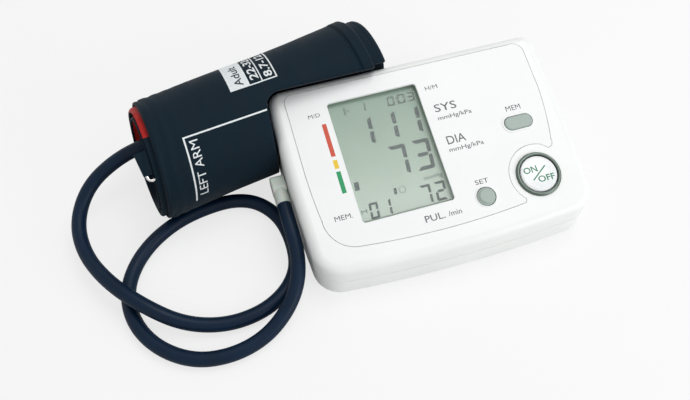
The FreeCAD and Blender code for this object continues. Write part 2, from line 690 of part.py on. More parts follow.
def make_housing_screws():
    """Pan-head screws, up through the base's posts into the bosses."""
    return [fused([cylinder(2.8, (x, y, 3.2), (x, y, 5.2)), cylinder(1.28, (x, y, 5.1), (x, y, 17.0))])
            for x, y in SCREW_POSTS]


# ---- plug and hose ----
def seal_ring(width, radius):
    """A flat ring round the plug's stub, down to the bottom of its groove."""
    y, z = SOCKET_AT
    start, end = (SEAL_X - width / 2, y, z), (SEAL_X + width / 2, y, z)
    return cylinder(radius, start, end).cut(cylinder(2.3, start, end))


def make_air_plug():
    """An elbow: a round body along the wall, a grip, and a stub square to it that enters the socket."""
    y, z = SOCKET_AT
    body = cylinder(PLUG_BODY_R, HOSE_ROUTE[0], (PLUG_X, y, z))
    half = PLUG_GRIP_HALF
    grip = box(*PLUG_GRIP_X, y - half, y + half, z - half, z + half)
    grip = grip.makeFillet(PLUG_GRIP_EDGE_R, [e for e in grip.Edges if e.BoundBox.XLength > 1])
    grip = grip.makeFillet(PLUG_GRIP_FACE_R, [e for e in grip.Edges if e.BoundBox.XMax < PLUG_GRIP_X[0] + 0.1])
    stub = cylinder(PLUG_STUB_R, (PLUG_X, y, z), (-61.2, y, z))
    return fused([body, grip, stub]).cut(seal_ring(SEAL_WIDTH, PLUG_STUB_R + 1))


def make_plug_seal():
    """The rubber ring in the stub's groove."""
    return seal_ring(SEAL_WIDTH - 0.2, PLUG_STUB_R + 0.04)


def hose_radii(points):
    """The largest arc at each corner: 0.45 of the shorter run, over the tangent of half the turn."""
    at = [V(*p) for p in points]
    radii = []
    for before, corner, after in zip(at, at[1:], at[2:]):
        shorter = min((before - corner).Length, (after - corner).Length)
        half_turn = (corner - before).getAngle(after - corner) / 2
        radii.append(0.45 * shorter / math.tan(half_turn))
    return radii


def make_air_hose():
    radii = hose_radii(HOSE_ROUTE)
    edges = rounded_runs(HOSE_ROUTE, radii)
    hose = swept(HOSE_R, edges)
    length = sum(e.Length for e in edges)
    filled = hose.Volume / (math.pi * HOSE_R ** 2 * length)
    print("hose: length %.1f mm, volume over section times length %.4f" % (length, filled))
    print("hose: bend radii", " ".join("%.0f" % r for r in radii))
    return hose


# ---- arm cuff ----
def axis_at(x):
    """The point of the roll's axis at this x."""
    (xa, ya), (xb, yb) = ROLL_AXIS
    return V(x, ya + (yb - ya) * (x - xa) / (xb - xa), ROLL_R)


def pressed_block(inset):
    """What the desk unit presses out of the roll: the room of its rear wall and its left wall."""
    bottom, top = PRESS_Z
    ease = inset * (math.hypot(1, PRESS_SLOPE) - 1) / PRESS_SLOPE
    reach = 20 * PRESS_SLOPE + inset * math.hypot(1, PRESS_SLOPE)
    rise = inset * (math.hypot(1, PRESS_LEAN) - 1) / PRESS_LEAN
    profile = [(-120, bottom - 20), (reach, bottom - 20), (inset, bottom + ease),
               (inset, top + rise), (inset - 40 * PRESS_LEAN, top + rise + 40), (-120, top + rise + 40)]
    points = [V(PRESS_X - inset, PRESS_Y + d, z) for d, z in profile]
    return Part.Face(Part.makePolygon(points + points[:1])).extrude(V(200, 0, 0))


def cuff_form(inset):
    """The roll's form, shrunk by inset: a round bar with the pressed side taken off."""
    left, right = (axis_at(x) for x, y in ROLL_AXIS)
    bar = Part.makeCylinder(ROLL_R - inset, (right - left).Length, left, right - left)
    return bar.cut(pressed_block(inset))


def between(left, right):
    """The space between the roll's ends. The right end is square to the axis and the left end leans."""
    start, end = axis_at(left), axis_at(right)
    beyond = Part.makeCylinder(150, 100, start, V(-1, -LEFT_LEAN, LEFT_LEAN))
    past = Part.makeCylinder(150, 100, end, end - start)
    return box(-200, 60, -60, 160, -50, 120).cut(beyond).cut(past)


def cuff_layer(depths, left, right):
    return cuff_form(depths[0]).cut(cuff_form(depths[1])).common(between(left, right))


def make_cuff_wrap():
    """The outermost turn of the cuff's cloth. It stops short of the right end."""
    return cuff_layer(WRAP, -135.0, -19.5)


def make_cuff_sleeve():
    return cuff_layer(SLEEVE, -136.2, -13.5)


def make_cuff_lining():
    return cuff_layer(LINING, -137.0, -12.5)


def make_cuff_bladder():
    """The flat air bag between the cloths, bent over the upper part of the roll."""
    return cuff_layer(MIDDLE, -104.0, -22.0).common(box(-150, 20, -20, 140, 28.0, 80))


def make_patch(depths):
    """A hook or loop patch, under the rear of the roll."""
    return cuff_layer(depths, -125.0, -22.0).common(box(-118, -30, 46, 140, -1, 22.0))


def make_hook_patch():
    return make_patch((MIDDLE[0], MIDDLE[0] + 0.9))


def make_loop_patch():
    return make_patch((MIDDLE[0] + 1.0, MIDDLE[1]))


def ring_point(x, angle):
    """A point among the cuff's middle layers, this many degrees above the roll's foremost line."""
    start, end = (axis_at(at) for at, y in ROLL_AXIS)
    along = (end - start).normalize()
    across = along.cross(V(0, 0, 1))
    radius = ROLL_R - sum(MIDDLE) / 2
    turn = math.radians(angle)
    return axis_at(x) + across * (radius * math.cos(turn)) + V(0, 0, radius * math.sin(turn))


def make_cuff_ring():
    """The wire ring that the cuff's end is threaded through. It looks out at the left end."""
    left, right = RING_X
    low, middle, high = RING_ANGLES
    seams = [ring_point((left + right) / 2, angle) for angle in (low, high)]
    halves = []
    for x, (start, end) in ((left, seams), (right, seams[::-1])):
        angles = (low, middle, high) if x == left else (high, middle, low)
        points = [start] + [ring_point(x, angle) for angle in angles] + [end]
        halves.append(swept(RING_WIRE_R, rounded_runs(points, (RING_CORNER_R, RING_SIDE_R, RING_CORNER_R))))
    return fused(halves)


def make_hose_port():
    """The moulded port on the lining: a barrel on the hose's end, a leg and a flange."""
    end, before = V(*HOSE_ROUTE[-1]), V(*HOSE_ROUTE[-2])
    way = (end - before).normalize()
    tip = end + way * 11.0
    hollow = cuff_form(LINING[1])
    barrel = cylinder(4.6, tuple(end), tuple(tip))
    root = end + way * 6.4
    leg = cylinder(4.0, tuple(root), tuple(root + V(0, 30, 0))).common(hollow)
    flange = cylinder(8.0, tuple(root), tuple(root + V(0, 30, 0)))
    flange = flange.common(hollow).cut(cuff_form(LINING[1] + 1.4))
    return fused([barrel, leg, flange])


# ---- one file for each piece ----
MAKERS = [
    make_upper_housing, make_lower_housing, make_battery_cover, make_face_panel, make_power_ring,
    make_power_button, make_mem_button, make_set_button, make_lcd_lens, make_lcd_glass, make_lcd_frame,
    make_zebra_strips, make_circuit_board, make_key_switches, make_board_chips,
    make_buzzer, make_pressure_sensor, make_pump_motor, make_pump_head, make_motor_shaft, make_pump_crank,
    make_exhaust_valve, make_air_manifold, make_inner_tubes, make_air_socket, make_battery_cells,
    make_battery_springs, make_battery_contacts, make_foot_pads, make_housing_screws, make_air_plug,
    make_plug_seal, make_air_hose, make_hose_port, make_cuff_wrap, make_cuff_sleeve, make_cuff_lining,
    make_cuff_bladder, make_hook_patch, make_loop_patch, make_cuff_ring,
]

os.makedirs("parts", exist_ok=True)
for make in MAKERS:
    save(make.__name__.replace("make_", ""), make())
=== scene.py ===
"""Looks of an upper-arm blood pressure monitor, built round its CAD frame.

The desk unit's shells, keys and inner parts are the frame's own nodes with their finishes.
The hose, the cuff's cloth, the cloth loop that holds the frame's wire ring, the prints and the display's
digits are made here.
Lengths in the tables are in millimetres, and are made metres where a mesh is built.
"""

import math

import bmesh
import bpy
from bpy.props import FloatProperty, FloatVectorProperty, IntProperty, PointerProperty
from mathutils import Matrix, Vector, noise


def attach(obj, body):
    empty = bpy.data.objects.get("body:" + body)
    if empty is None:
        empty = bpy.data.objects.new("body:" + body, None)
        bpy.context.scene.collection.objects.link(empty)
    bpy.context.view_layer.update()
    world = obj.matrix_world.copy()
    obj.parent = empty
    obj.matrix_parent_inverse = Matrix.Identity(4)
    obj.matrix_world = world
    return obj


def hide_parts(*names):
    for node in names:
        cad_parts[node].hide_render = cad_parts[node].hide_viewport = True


bl_info = {
    "name": "Arm Blood Pressure Monitor",
    "version": (1, 0, 0),
    "blender": (4, 5, 0),
    "location": "View3D > Sidebar > Monitor",
    "description": "Dresses the frame of an upper-arm blood pressure monitor",
    "category": "Object",
}

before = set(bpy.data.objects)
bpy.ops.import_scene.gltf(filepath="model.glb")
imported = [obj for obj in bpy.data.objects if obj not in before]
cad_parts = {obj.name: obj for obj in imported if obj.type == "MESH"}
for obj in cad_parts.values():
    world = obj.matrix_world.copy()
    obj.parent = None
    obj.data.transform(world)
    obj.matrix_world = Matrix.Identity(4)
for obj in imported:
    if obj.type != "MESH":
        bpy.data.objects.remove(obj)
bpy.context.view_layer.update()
MM = 0.001

# ---- the desk unit's face: x to the right, v up the slope, h out of the face ----
FACE_HEIGHT = 34.3         # over the desk, at the unit's middle
FACE_SLOPE = math.radians(13.3)
FACE = Matrix.Translation((0, 0, FACE_HEIGHT * MM)) @ Matrix.Rotation(FACE_SLOPE, 4, "X")
DISPLAY_H = -3.43          # the digits lie between the display's glass and its window
POWER_AT = (47.0, -26.4)
POWER_TOP = 1.6            # how high the middle of the power key's cap stands over the face
POWER_SHOULDER = (5.0, 1.5)    # its shoulder's distance from that middle, and its height
POWER_RIM = (8.1, 1.2)

# ---- the hose's route, from the plug to the cuff ----
HOSE_ROUTE = [
    (-76.7, -2.0, 20.0),
    (-76.7, -14.0, 20.0),
    (-76.5, -28.0, 15.6),
    (-80.4, -41.2, 11.0),
    (-89.4, -52.0, 6.6),
    (-102.4, -60.2, 3.8),
    (-118.6, -63.8, 3.7),
    (-135.6, -61.2, 3.7),
    (-150.5, -50.5, 3.7),
    (-159.4, -35.4, 3.7),
    (-160.6, -18.6, 3.7),
    (-154.6, -4.8, 3.7),
    (-143.8, 6.4, 3.7),
    (-129.4, 14.2, 3.7),
    (-114.0, 17.6, 3.7),
    (-99.4, 18.0, 3.7),
    (-87.6, 12.8, 3.7),
    (-79.4, 1.2, 3.7),
    (-76.7, -13.0, 3.7),
    (-77.9, -28.5, 3.7),
    (-86.2, -40.0, 3.7),
    (-100.2, -47.2, 3.7),
    (-118.5, -48.4, 3.7),
    (-137.0, -43.0, 6.4),
    (-152.6, -31.4, 12.4),
    (-166.8, -14.6, 12.4),
    (-176.5, 5.0, 9.6),
    (-178.0, 24.0, 10.8),
    (-168.5, 39.5, 17.0),
    (-151.0, 46.5, 24.0),
    (-134.0, 49.0, 27.0),
    (-119.0, 52.5, 27.4),
]

# ---- the cuff's roll: places along its straight axis, turns from its top towards the rear ----
ROLL_R = 29.2
ROLL_START = Vector((-150.0, 33.3, ROLL_R))
ROLL_WAY = Vector((150.0, 32.2, 0)).normalized()
ROLL_REAR = Vector((-ROLL_WAY.y, ROLL_WAY.x, 0))
PRESS_CORNER = (-64.8, 42.8)   # the middle of the desk unit's rear left corner, which dents the roll
PRESS_R = 8.2              # the dent's radius round it; to its right the unit's rear wall holds the roll back
PRESS_Z = (14.0, 41.3)     # the pressed side is upright between these heights
PRESS_SLOPE = 0.71         # how fast it gives way below
PRESS_LEAN = 0.80          # how far it leans out above, for each unit of height
PRESS_EASE = 2.0           # how softly the cloth rounds into the dent
FLOOR_EASE = 1.2           # and on to the floor
CORNER_STEP = 40.0         # how steeply it comes out again to the left of the corner
LEFT_LEAN = 0.15           # the left end leans: its top and its near side are the further right
HEM = 6.8                  # width of the hem at the outer cloth's right end
HEM_THICK = 0.4            # how far it stands out
HEM_EASE = 1.5             # over what length it rises
GROOVE = 0.6               # depth and half width of the groove of its seam
TUCK = 0.9                 # depth and half width of the inner cloth's dip where the outer one ends
OUTER_DEPTH = 2.5          # the hem and the flap fade out down to this depth
FLAP_EDGE = 128.0          # where the cloth's free edge lies, in degrees round the roll
FLAP_SPAN = 80.0           # the turn below comes level again over this many degrees
FLAP_STEP = 1.2            # how far the cloth steps down past its edge
CREASE = 0.45              # height of the soft creases by the left rim
CREASE_FADE = 9.0          # how far from the rim they last
CREASE_RATE = 1.15         # radians of a crease for each millimetre
CREASE_SWAY = 3.4          # how far they wander along the roll
SLACK = 0.5                # height of the cloth's broad unevenness
RIPPLE = 0.2               # and of its small ripples
FOLD_BASE = 0.3            # what the folds add on the whole, taken off again
FOLD_DEPTH = 14.0          # the folds would be gone at this depth
SAG = 3.0                  # how far the cloth hangs out at most
SAG_TURN = math.radians(-112)  # where that is round the roll
SAG_FOCUS = 4.5            # how closely it keeps to that place
SAG_FULL = 70.0            # from here along the roll it hangs fully
TOP_DRAWN = (0.9, 105.0, 32.0)     # how far the roll's top draws in, where along it, and over what length
TOP_RAISED = (0.7, 0.0, 26.0)      # and how it stands up at the left
TOP_TURN = 0.6             # where both are most, in radians round the roll
SKEW_ROUND = 0.068         # the cuff is rolled askew: how far its print turns for each unit along it
SKEW_FROM = 62.0           # the place along it where that turn is nothing
SKEW_ALONG = 0.0735        # how far the print leans along the roll for each unit round it
SKEW_BEND = 0.0012         # how much that lean bends on the near side
# name: depths from the outside, x of the left and right ends on the axis
WRAP = ((0.1, 2.3), -135.0, -19.5)
SLEEVE = ((2.6, 4.1), -137.6, -12.4)
LINING = ((6.4, 7.5), -138.0, -11.6)
AIR_BAG = ((4.4, 6.2), -101.0, -23.0)
HOOKS = ((4.4, 5.1), -112.0, -31.0)
LOOPS = ((5.4, 6.2), -112.0, -31.0)
BAG_SPAN = (-85, 85)           # the bag's and the patches' edges round the roll, in degrees
PATCH_SPAN = (112, 160)


# ---------------------------------------------------------------- shader maths
class Value:
    """A node's output, which Python's operators can reckon with."""

    def __init__(self, shading, socket):
        self.shading = shading
        self.socket = socket

    def reckon(self, operation, *values):
        return self.shading.node("ShaderNodeMath", {"operation": operation}, dict(enumerate(values)))

    def __add__(self, other):
        return self.reckon("ADD", self, other)

    def __radd__(self, other):
        return self.reckon("ADD", other, self)

    def __sub__(self, other):
        return self.reckon("SUBTRACT", self, other)

    def __rsub__(self, other):
        return self.reckon("SUBTRACT", other, self)

    def __mul__(self, other):
        return self.reckon("MULTIPLY", self, other)

    def __rmul__(self, other):
        return self.reckon("MULTIPLY", other, self)

    def above(self, edge):
        return self.reckon("GREATER_THAN", self, edge)

    def below(self, edge):
        return self.reckon("LESS_THAN", self, edge)

    def larger(self, other):
        return self.reckon("MAXIMUM", self, other)

    def wave(self):
        return self.reckon("SINE", self)


class Shading:
    """A shader tree in the making."""

    def __init__(self, tree):
        self.tree = tree

    def node(self, kind, settings=(), sockets=(), output=0):
        """Adds a node, sets it up, feeds its sockets and gives the named output."""
        made = self.tree.nodes.new(kind)
        for name, setting in dict(settings).items():
            if name == "stops":
                ramp = made.color_ramp.elements
                while len(ramp) < len(setting):
                    ramp.new(0.5)
                for stop, (place, colour) in zip(ramp, setting):
                    stop.position = place
                    stop.color = (*colour, 1.0)
            else:
                setattr(made, name, setting)
        for name, value in dict(sockets).items():
            self.feed(made.inputs[name], value)
        return Value(self, made.outputs[output])

    def feed(self, socket, value):
        """Links a value to a socket, or sets the socket to a number or a colour."""
        if isinstance(value, Value):
            self.tree.links.new(value.socket, socket)
        elif hasattr(value, "__len__") and len(value) == 3 and len(socket.default_value) == 4:
            socket.default_value = (*value, 1.0)
        else:
            socket.default_value = value

    def place(self, scale=(1, 1, 1), source="Object"):
        """A point on the piece, in metres, or on its own UV map."""
        at = self.node("ShaderNodeTexCoord", output=source)
        return self.node("ShaderNodeMapping", {}, {"Vector": at, "Scale": scale})

    def split(self, at, axis):
        return self.node("ShaderNodeSeparateXYZ", {}, {"Vector": at}, axis)

    def noise(self, at, scale, detail=2.0, roughness=0.5):
        sockets = {"Vector": at, "Scale": scale, "Detail": detail, "Roughness": roughness}
        return self.node("ShaderNodeTexNoise", {}, sockets, "Fac")

    def speckle(self, at, scale):
        return self.node("ShaderNodeTexVoronoi", {}, {"Vector": at, "Scale": scale}, "Distance")

    def ramp(self, factor, *stops):
        return self.node("ShaderNodeValToRGB", {"stops": stops}, {"Fac": factor})

    def blend(self, factor, first, second):
        return self.node("ShaderNodeMix", {"data_type": "RGBA"}, {0: factor, 6: first, 7: second}, 2)

    def span(self, value, low, high, to_low=0.0, to_high=1.0):
        sockets = {"Value": value, "From Min": low, "From Max": high, "To Min": to_low, "To Max": to_high}
        return self.node("ShaderNodeMapRange", {}, sockets)


class Finish(Shading):
    """A material in the making: its shader, and the nodes that feed it."""

    def __init__(self, name, roughness, **constants):
        self.material = bpy.data.materials.new(name)
        self.material.use_nodes = True
        super().__init__(self.material.node_tree)
        self.shader = self.tree.nodes["Principled BSDF"]
        self.shader.inputs["Roughness"].default_value = roughness
        for socket, number in constants.items():
            self.shader.inputs[socket.replace("_", " ")].default_value = number

    def paint(self, socket, value):
        self.feed(self.shader.inputs[socket], value)

    def two_tone(self, factor, colour, first, second):
        """A base colour between two shades of one, each with its place on the ramp and its share of it."""
        stops = [(place, shade(colour, share)) for place, share in (first, second)]
        self.paint("Base Color", self.ramp(factor, *stops))

    def bump(self, height, distance, strength=1.0):
        sockets = {"Height": height, "Distance": distance, "Strength": strength}
        self.paint("Normal", self.node("ShaderNodeBump", {}, sockets))
        return self.material


def tint(red, green, blue):
    """A screen colour, 0 to 255, as the linear light that shaders take."""
    return tuple((c / 255 / 12.92) if c <= 10 else ((c / 255 + 0.055) / 1.055) ** 2.4
                 for c in (red, green, blue))


def shade(colour, factor):
    """A darker or a brighter form of a colour."""
    return tuple(min(1.0, c * factor) for c in colour[:3])


# ---------------------------------------------------------------- finishes
def moulded(name, colour, roughness, grain=0.00002, grain_scale=2600.0, **constants):
    """Moulded plastic: a fine grain, with faint unevenness of colour and gloss."""
    finish = Finish(name, roughness, **constants)
    at = finish.place()
    broad = finish.noise(at, 38.0, 3.0)
    fine = finish.noise(at, grain_scale, 2.0)
    finish.two_tone(broad, colour, (0.3, 0.975), (0.7, 1.015))
    finish.paint("Roughness", finish.span(broad, 0.3, 0.7, roughness - 0.03, roughness + 0.04))
    return finish.bump(fine, grain, 0.6)


def metal(name, colour, roughness, stretch=(1, 1, 1), **constants):
    """Metal with fine brush or draw marks along one axis."""
    finish = Finish(name, roughness, Metallic=1.0, **constants)
    at = finish.place(stretch)
    marks = finish.noise(at, 2400.0, 2.0)
    finish.two_tone(marks, colour, (0.3, 0.92), (0.7, 1.05))
    finish.paint("Roughness", finish.span(marks, 0.3, 0.7, roughness * 0.8, roughness * 1.25))
    return finish.bump(marks, 0.000005, 0.5)


def soft_rubber(name, colour, roughness=0.42, gloss=0.3):
    """Satin rubber with a little dust and a fine skin."""
    finish = Finish(name, roughness, Specular_IOR_Level=gloss)
    at = finish.place()
    dust = finish.noise(at, 90.0, 4.0)
    skin = finish.noise(at, 1900.0, 2.0)
    finish.two_tone(dust, colour, (0.35, 0.88), (0.75, 1.18))
    finish.paint("Roughness", finish.span(dust, 0.3, 0.8, roughness - 0.06, roughness + 0.1))
    return finish.bump(skin, 0.00002, 0.5)


def woven(name, colour, pitch, roughness=0.62, contrast=0.16):
    """Close-woven nylon: two sets of threads on the cloth's own map, and soft handling creases whose hollows
    are painted darker and ridges lighter, as painted shade and highlight.
    """
    finish = Finish(name, roughness, Specular_IOR_Level=0.1, Sheen_Weight=0.03, Sheen_Roughness=0.45)
    at = finish.place(source="UV")
    turns = 2 * math.pi / pitch
    warp = (finish.split(at, "X") * turns).wave()
    weft = (finish.split(at, "Y") * turns).wave()
    over = (warp * weft) * 0.5 + 0.5
    threads = warp * warp * 0.5 + weft * weft * 0.5
    crease = finish.noise(finish.place((1, 0.35, 1), "UV"), 120.0, 3.0, 0.55)
    dust = finish.noise(at, 700.0, 2.0)
    # the crease term paints shade into the creases' hollows and highlight onto their ridges; the threads and
    # the dust are the cloth's own
    tone = over * contrast + crease * 0.5 + dust * 0.2
    finish.two_tone(tone, colour, (0.25, 0.8), (0.6, 1.25))
    finish.paint("Roughness", finish.span(crease, 0.3, 0.7, roughness - 0.07, roughness + 0.08))
    height = threads * 0.1 + over * 0.05 + crease * 1.6
    return finish.bump(height, 0.00025, 0.8)


def ink(name, colour, roughness=0.5):
    """Printing ink with slightly uneven cover."""
    finish = Finish(name, roughness)
    cover = finish.noise(finish.place(), 900.0, 3.0)
    finish.two_tone(cover, colour, (0.3, 0.92), (0.7, 1.06))
    return finish.bump(cover, 0.000008, 0.4)


def window_clear():
    """A clear window: mostly air, with the gloss of its face."""
    finish = Finish("window_clear", 0.08, Alpha=0.10)
    haze = finish.noise(finish.place(), 60.0, 2.0)
    finish.paint("Base Color", finish.ramp(haze, (0.3, tint(206, 218, 210)), (0.7, tint(224, 233, 227))))
    finish.material.surface_render_method = "BLENDED"
    return finish.bump(haze, 0.00001, 0.2)


def display_grey():
    """The display's reflector: painted shade makes it greener and darker towards its top, with a fine grain.
    """
    finish = Finish("display_grey", 0.42)
    at = finish.place()
    depth = finish.split(at, "Y")
    grain = finish.noise(at, 1500.0, 2.0)
    # painted shade: the colour darkens and turns greener from the display's foot to its top
    level = finish.span(depth, -0.028, 0.036) + grain * 0.06
    finish.paint("Base Color", finish.ramp(level, (0.0, tint(206, 218, 208)), (0.45, tint(170, 189, 173)),
                                           (1.0, tint(126, 154, 135))))
    return finish.bump(grain, 0.000006, 0.4)


def key_sparkle(colour):
    """White lacquer with small bright flakes."""
    finish = Finish("key_sparkle", 0.28, Coat_Roughness=0.1)
    at = finish.place()
    flakes = finish.speckle(at, 1700.0)
    broad = finish.noise(at, 400.0, 3.0)
    tone = flakes * 0.7 + broad * 0.3
    finish.two_tone(tone, colour, (0.22, 1.06), (0.5, 0.93))
    finish.paint("Coat Weight", finish.span(flakes, 0.1, 0.6, 0.5, 0.2))
    return finish.bump(flakes, 0.00001, 0.3)


def milky(name, colour):
    """Milky moulding that lets some light through."""
    finish = Finish(name, 0.34, Subsurface_Weight=0.35, Subsurface_Scale=0.004)
    at = finish.place()
    cloud = finish.noise(at, 160.0, 3.0)
    finish.two_tone(cloud, colour, (0.3, 0.94), (0.7, 1.04))
    finish.paint("Roughness", finish.span(cloud, 0.3, 0.7, 0.3, 0.4))
    return finish.bump(finish.noise(at, 1800.0), 0.000015, 0.5)


def cell_sleeve():
    """A plain cell sleeve: steel grey with one dark band."""
    finish = Finish("cell_sleeve", 0.3, Metallic=0.6)
    at = finish.place()
    across = finish.split(at, "X")
    band = across.above(0.034) * across.below(0.047)
    scuff = finish.noise(at, 500.0, 3.0)
    body = finish.ramp(scuff, (0.3, tint(150, 155, 160)), (0.7, tint(172, 176, 180)))
    finish.paint("Base Color", finish.blend(1 - band, tint(52, 60, 70), body))
    return finish.bump(scuff, 0.000008, 0.4)


def laminate():
    """Green circuit laminate with the faint lines of its tracks."""
    finish = Finish("laminate", 0.4)
    at = finish.place((1, 0.2, 1))
    tracks = finish.noise(at, 420.0, 1.0)
    finish.paint("Base Color", finish.ramp(tracks, (0.48, tint(20, 84, 52)), (0.54, tint(38, 110, 70))))
    return finish.bump(tracks, 0.00002, 0.4)


# ---------------------------------------------------------------- small mesh tools
def dress(node, material):
    """Gives a frame node its finish."""
    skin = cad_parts[node].data.materials
    skin.clear()
    skin.append(material)


def new_piece(name, mesh, body, slot, *materials):
    """Puts a finished mesh in the scene, on a body, with its finish. Its slot is not used."""
    piece = bpy.data.objects.new(name, mesh)
    mesh.name = name
    bpy.context.scene.collection.objects.link(piece)
    for material in materials:
        mesh.materials.append(material)
    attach(piece, body)
    return piece


def to_mesh(data):
    """A curve's or text's own mesh, and nothing left behind."""
    holder = bpy.data.objects.new("holder", data)
    mesh = bpy.data.meshes.new_from_object(holder)
    bpy.data.objects.remove(holder)
    bpy.data.curves.remove(data)
    return mesh


def words(text, left, base, width, height, weight=0.0, angle=0.0):
    """Lettering as a flat mesh in millimetres, fitted to a width and to its own height."""
    data = bpy.data.curves.new("words", "FONT")
    data.body = text
    data.size = 1.0
    data.offset = weight
    data.resolution_u = 3
    mesh = to_mesh(data)
    low = [min(v.co[i] for v in mesh.vertices) for i in (0, 1)]
    high = [max(v.co[i] for v in mesh.vertices) for i in (0, 1)]
    turn = Matrix.Rotation(math.radians(angle), 3, "Z")
    for v in mesh.vertices:
        x = (v.co.x - low[0]) / (high[0] - low[0]) * width
        y = (v.co.y - low[1]) / (high[1] - low[1]) * height
        v.co = turn @ Vector((x, y, 0)) + Vector((left, base, 0))
    return mesh


def plate(corners):
    """One flat polygon as a mesh, in millimetres."""
    mesh = bpy.data.meshes.new("plate")
    mesh.from_pydata([(x, y, 0) for x, y in corners], [], [tuple(range(len(corners)))])
    return mesh


def stroke(points, width, limit=0.4):
    """A line of even width through some points, as joined flat quads. The limit cuts sharp mitres short."""
    half = width / 2
    sides = []
    for i, point in enumerate(points):
        here = Vector(point)
        before = (here - Vector(points[i - 1])).normalized() if i else None
        after = (Vector(points[i + 1]) - here).normalized() if i + 1 < len(points) else None
        way = ((before or after) + (after or before)).normalized()
        across = Vector((-way.y, way.x))
        reach = half / max(limit, across.dot(Vector((-(before or after).y, (before or after).x))))
        sides.append((here + across * reach, here - across * reach))
    verts = [(*p, 0) for pair in sides for p in pair]
    faces = [(2 * i, 2 * i + 1, 2 * i + 3, 2 * i + 2) for i in range(len(points) - 1)]
    mesh = bpy.data.meshes.new("stroke")
    mesh.from_pydata(verts, [], faces)
    return mesh


def mesh_of(built, name):
    """A built mesh as plain data, and its builder let go."""
    mesh = bpy.data.meshes.new(name)
    built.to_mesh(mesh)
    built.free()
    return mesh


def printed(name, meshes, place, material, step, thick, body, slot):
    """Flat shapes made one thin print on a surface: place(x, y, h) gives a point of it in millimetres.

    The shapes are cut into steps first, so that the print bends with the surface.
    """
    sheet = bmesh.new()
    for mesh in meshes:
        sheet.from_mesh(mesh)
        bpy.data.meshes.remove(mesh)
    bmesh.ops.remove_doubles(sheet, verts=sheet.verts, dist=0.001)
    for axis in (0, 1):
        low = min(v.co[axis] for v in sheet.verts)
        high = max(v.co[axis] for v in sheet.verts)
        for i in range(1, int((high - low) / step) + 1):
            cut = Vector((0, 0, 0))
            cut[axis] = low + i * step
            normal = Vector((0, 0, 0))
            normal[axis] = 1
            geometry = sheet.verts[:] + sheet.edges[:] + sheet.faces[:]
            bmesh.ops.bisect_plane(sheet, geom=geometry, plane_co=cut, plane_no=normal)
    for face in sheet.faces:
        if face.normal.z < 0:
            face.normal_flip()
    sheet.verts.index_update()
    count = len(sheet.verts)
    faces = []
    for face in sheet.faces:
        corners = [v.index for v in face.verts]
        faces += [corners[::-1], [count + i for i in corners]]
        for side in face.loops:
            if side.edge.is_boundary:
                a, b = side.vert.index, side.link_loop_next.vert.index
                faces.append([a, b, count + b, count + a])
    points = [Vector(place(v.co.x, v.co.y, h)) * MM for h in (0.0, thick) for v in sheet.verts]
    sheet.free()
    mesh = bpy.data.meshes.new(name)
    mesh.from_pydata(points, [], faces)
    return new_piece(name, mesh, body, slot, material)


def on_face(x, v, h):
    """A point on the face panel, or above it by h."""
    return FACE @ (Vector((x, v, h)) * MM) / MM


def on_key(x, v, h):
    """A point on the power key's cap: nearly flat out to its shoulder, then falling to its rim."""
    reach = math.hypot(x - POWER_AT[0], v - POWER_AT[1])
    (shoulder, high), (rim, low) = POWER_SHOULDER, POWER_RIM
    if reach < shoulder:
        crown = POWER_TOP - (POWER_TOP - high) / shoulder * reach
    else:
        crown = high - (high - low) / (rim - shoulder) * (reach - shoulder)
    return on_face(x, v, crown + 0.01 + h)


def on_display(x, v, h):
    """A point over the display's glass."""
    return on_face(x, v, DISPLAY_H + h)


# ---------------------------------------------------------------- the roll
def softer(a, b, k):
    """The larger of two numbers, with the corner between them eased over k."""
    return 0.5 * (a + b + math.sqrt((a - b) ** 2 + k * k))


def eased(t):
    """A smooth step from 0 to 1."""
    t = min(1.0, max(0.0, t))
    return t * t * (3 - 2 * t)


def along(x):
    """How far along the roll's axis the point with this x lies."""
    return (x - ROLL_START.x) / ROLL_WAY.x


def line_place(x, turn, depth):
    """How far along the roll the line at this turn and depth passes this x."""
    return along(x) + (ROLL_R - depth) * math.sin(turn) * ROLL_WAY.y / ROLL_WAY.x


def left_end(x, turn, depth):
    """How far along the roll the line at this turn meets its leaning left end, which is at x on the axis."""
    slant = math.sin(turn) * (ROLL_WAY.y - LEFT_LEAN * ROLL_WAY.x) + math.cos(turn) * LEFT_LEAN
    return along(x) + (ROLL_R - depth) * slant / (ROLL_WAY.x + LEFT_LEAN * ROLL_WAY.y)


def bell(s, height, middle, reach):
    """A smooth bump along the roll."""
    return height * math.exp(-((s - middle) / reach) ** 2)


def folds(s, turn):
    """How far the cloth stands out, in millimetres: soft creases by the left rim, and a slack surface."""
    from_rim = s - left_end(WRAP[1], turn, 0)
    near = math.exp(-max(0.0, from_rim) / CREASE_FADE)
    up, rear = math.cos(turn), math.sin(turn)
    sway = noise.noise((up * 1.3, rear * 1.3, 0.4)) * CREASE_SWAY
    rings = math.cos((from_rim + sway) * CREASE_RATE) * CREASE * near
    slack = noise.noise((s * 0.03, up * 1.5, rear * 1.5)) * SLACK
    ripple = noise.noise((s * 0.1, up * 3.0, rear * 3.0)) * RIPPLE * (0.4 + near)
    return rings + slack + ripple + sag(s, turn) - FOLD_BASE


def sag(s, turn):
    """The cloth hangs out low on its near side. Its top stands up a little on the left and draws in after."""
    share = 0.4 + 0.6 * min(1.0, s / SAG_FULL)
    low = SAG * math.exp(SAG_FOCUS * (math.cos(turn - SAG_TURN) - 1)) * share
    drawn = bell(s, *TOP_DRAWN) - bell(s, *TOP_RAISED)
    return low - drawn * max(0.0, math.cos(turn - TOP_TURN))


def hem(s):
    """The thick hem at the outer cloth's right end, and the groove of its seam."""
    seam = along(WRAP[2]) - HEM
    return HEM_THICK * eased((s - seam) / HEM_EASE) - bell(s, GROOVE, seam, GROOVE)


def tuck(s):
    """How far the inner cloth dips where the outer cloth ends over it."""
    return -bell(s, TUCK, along(WRAP[2]), TUCK)


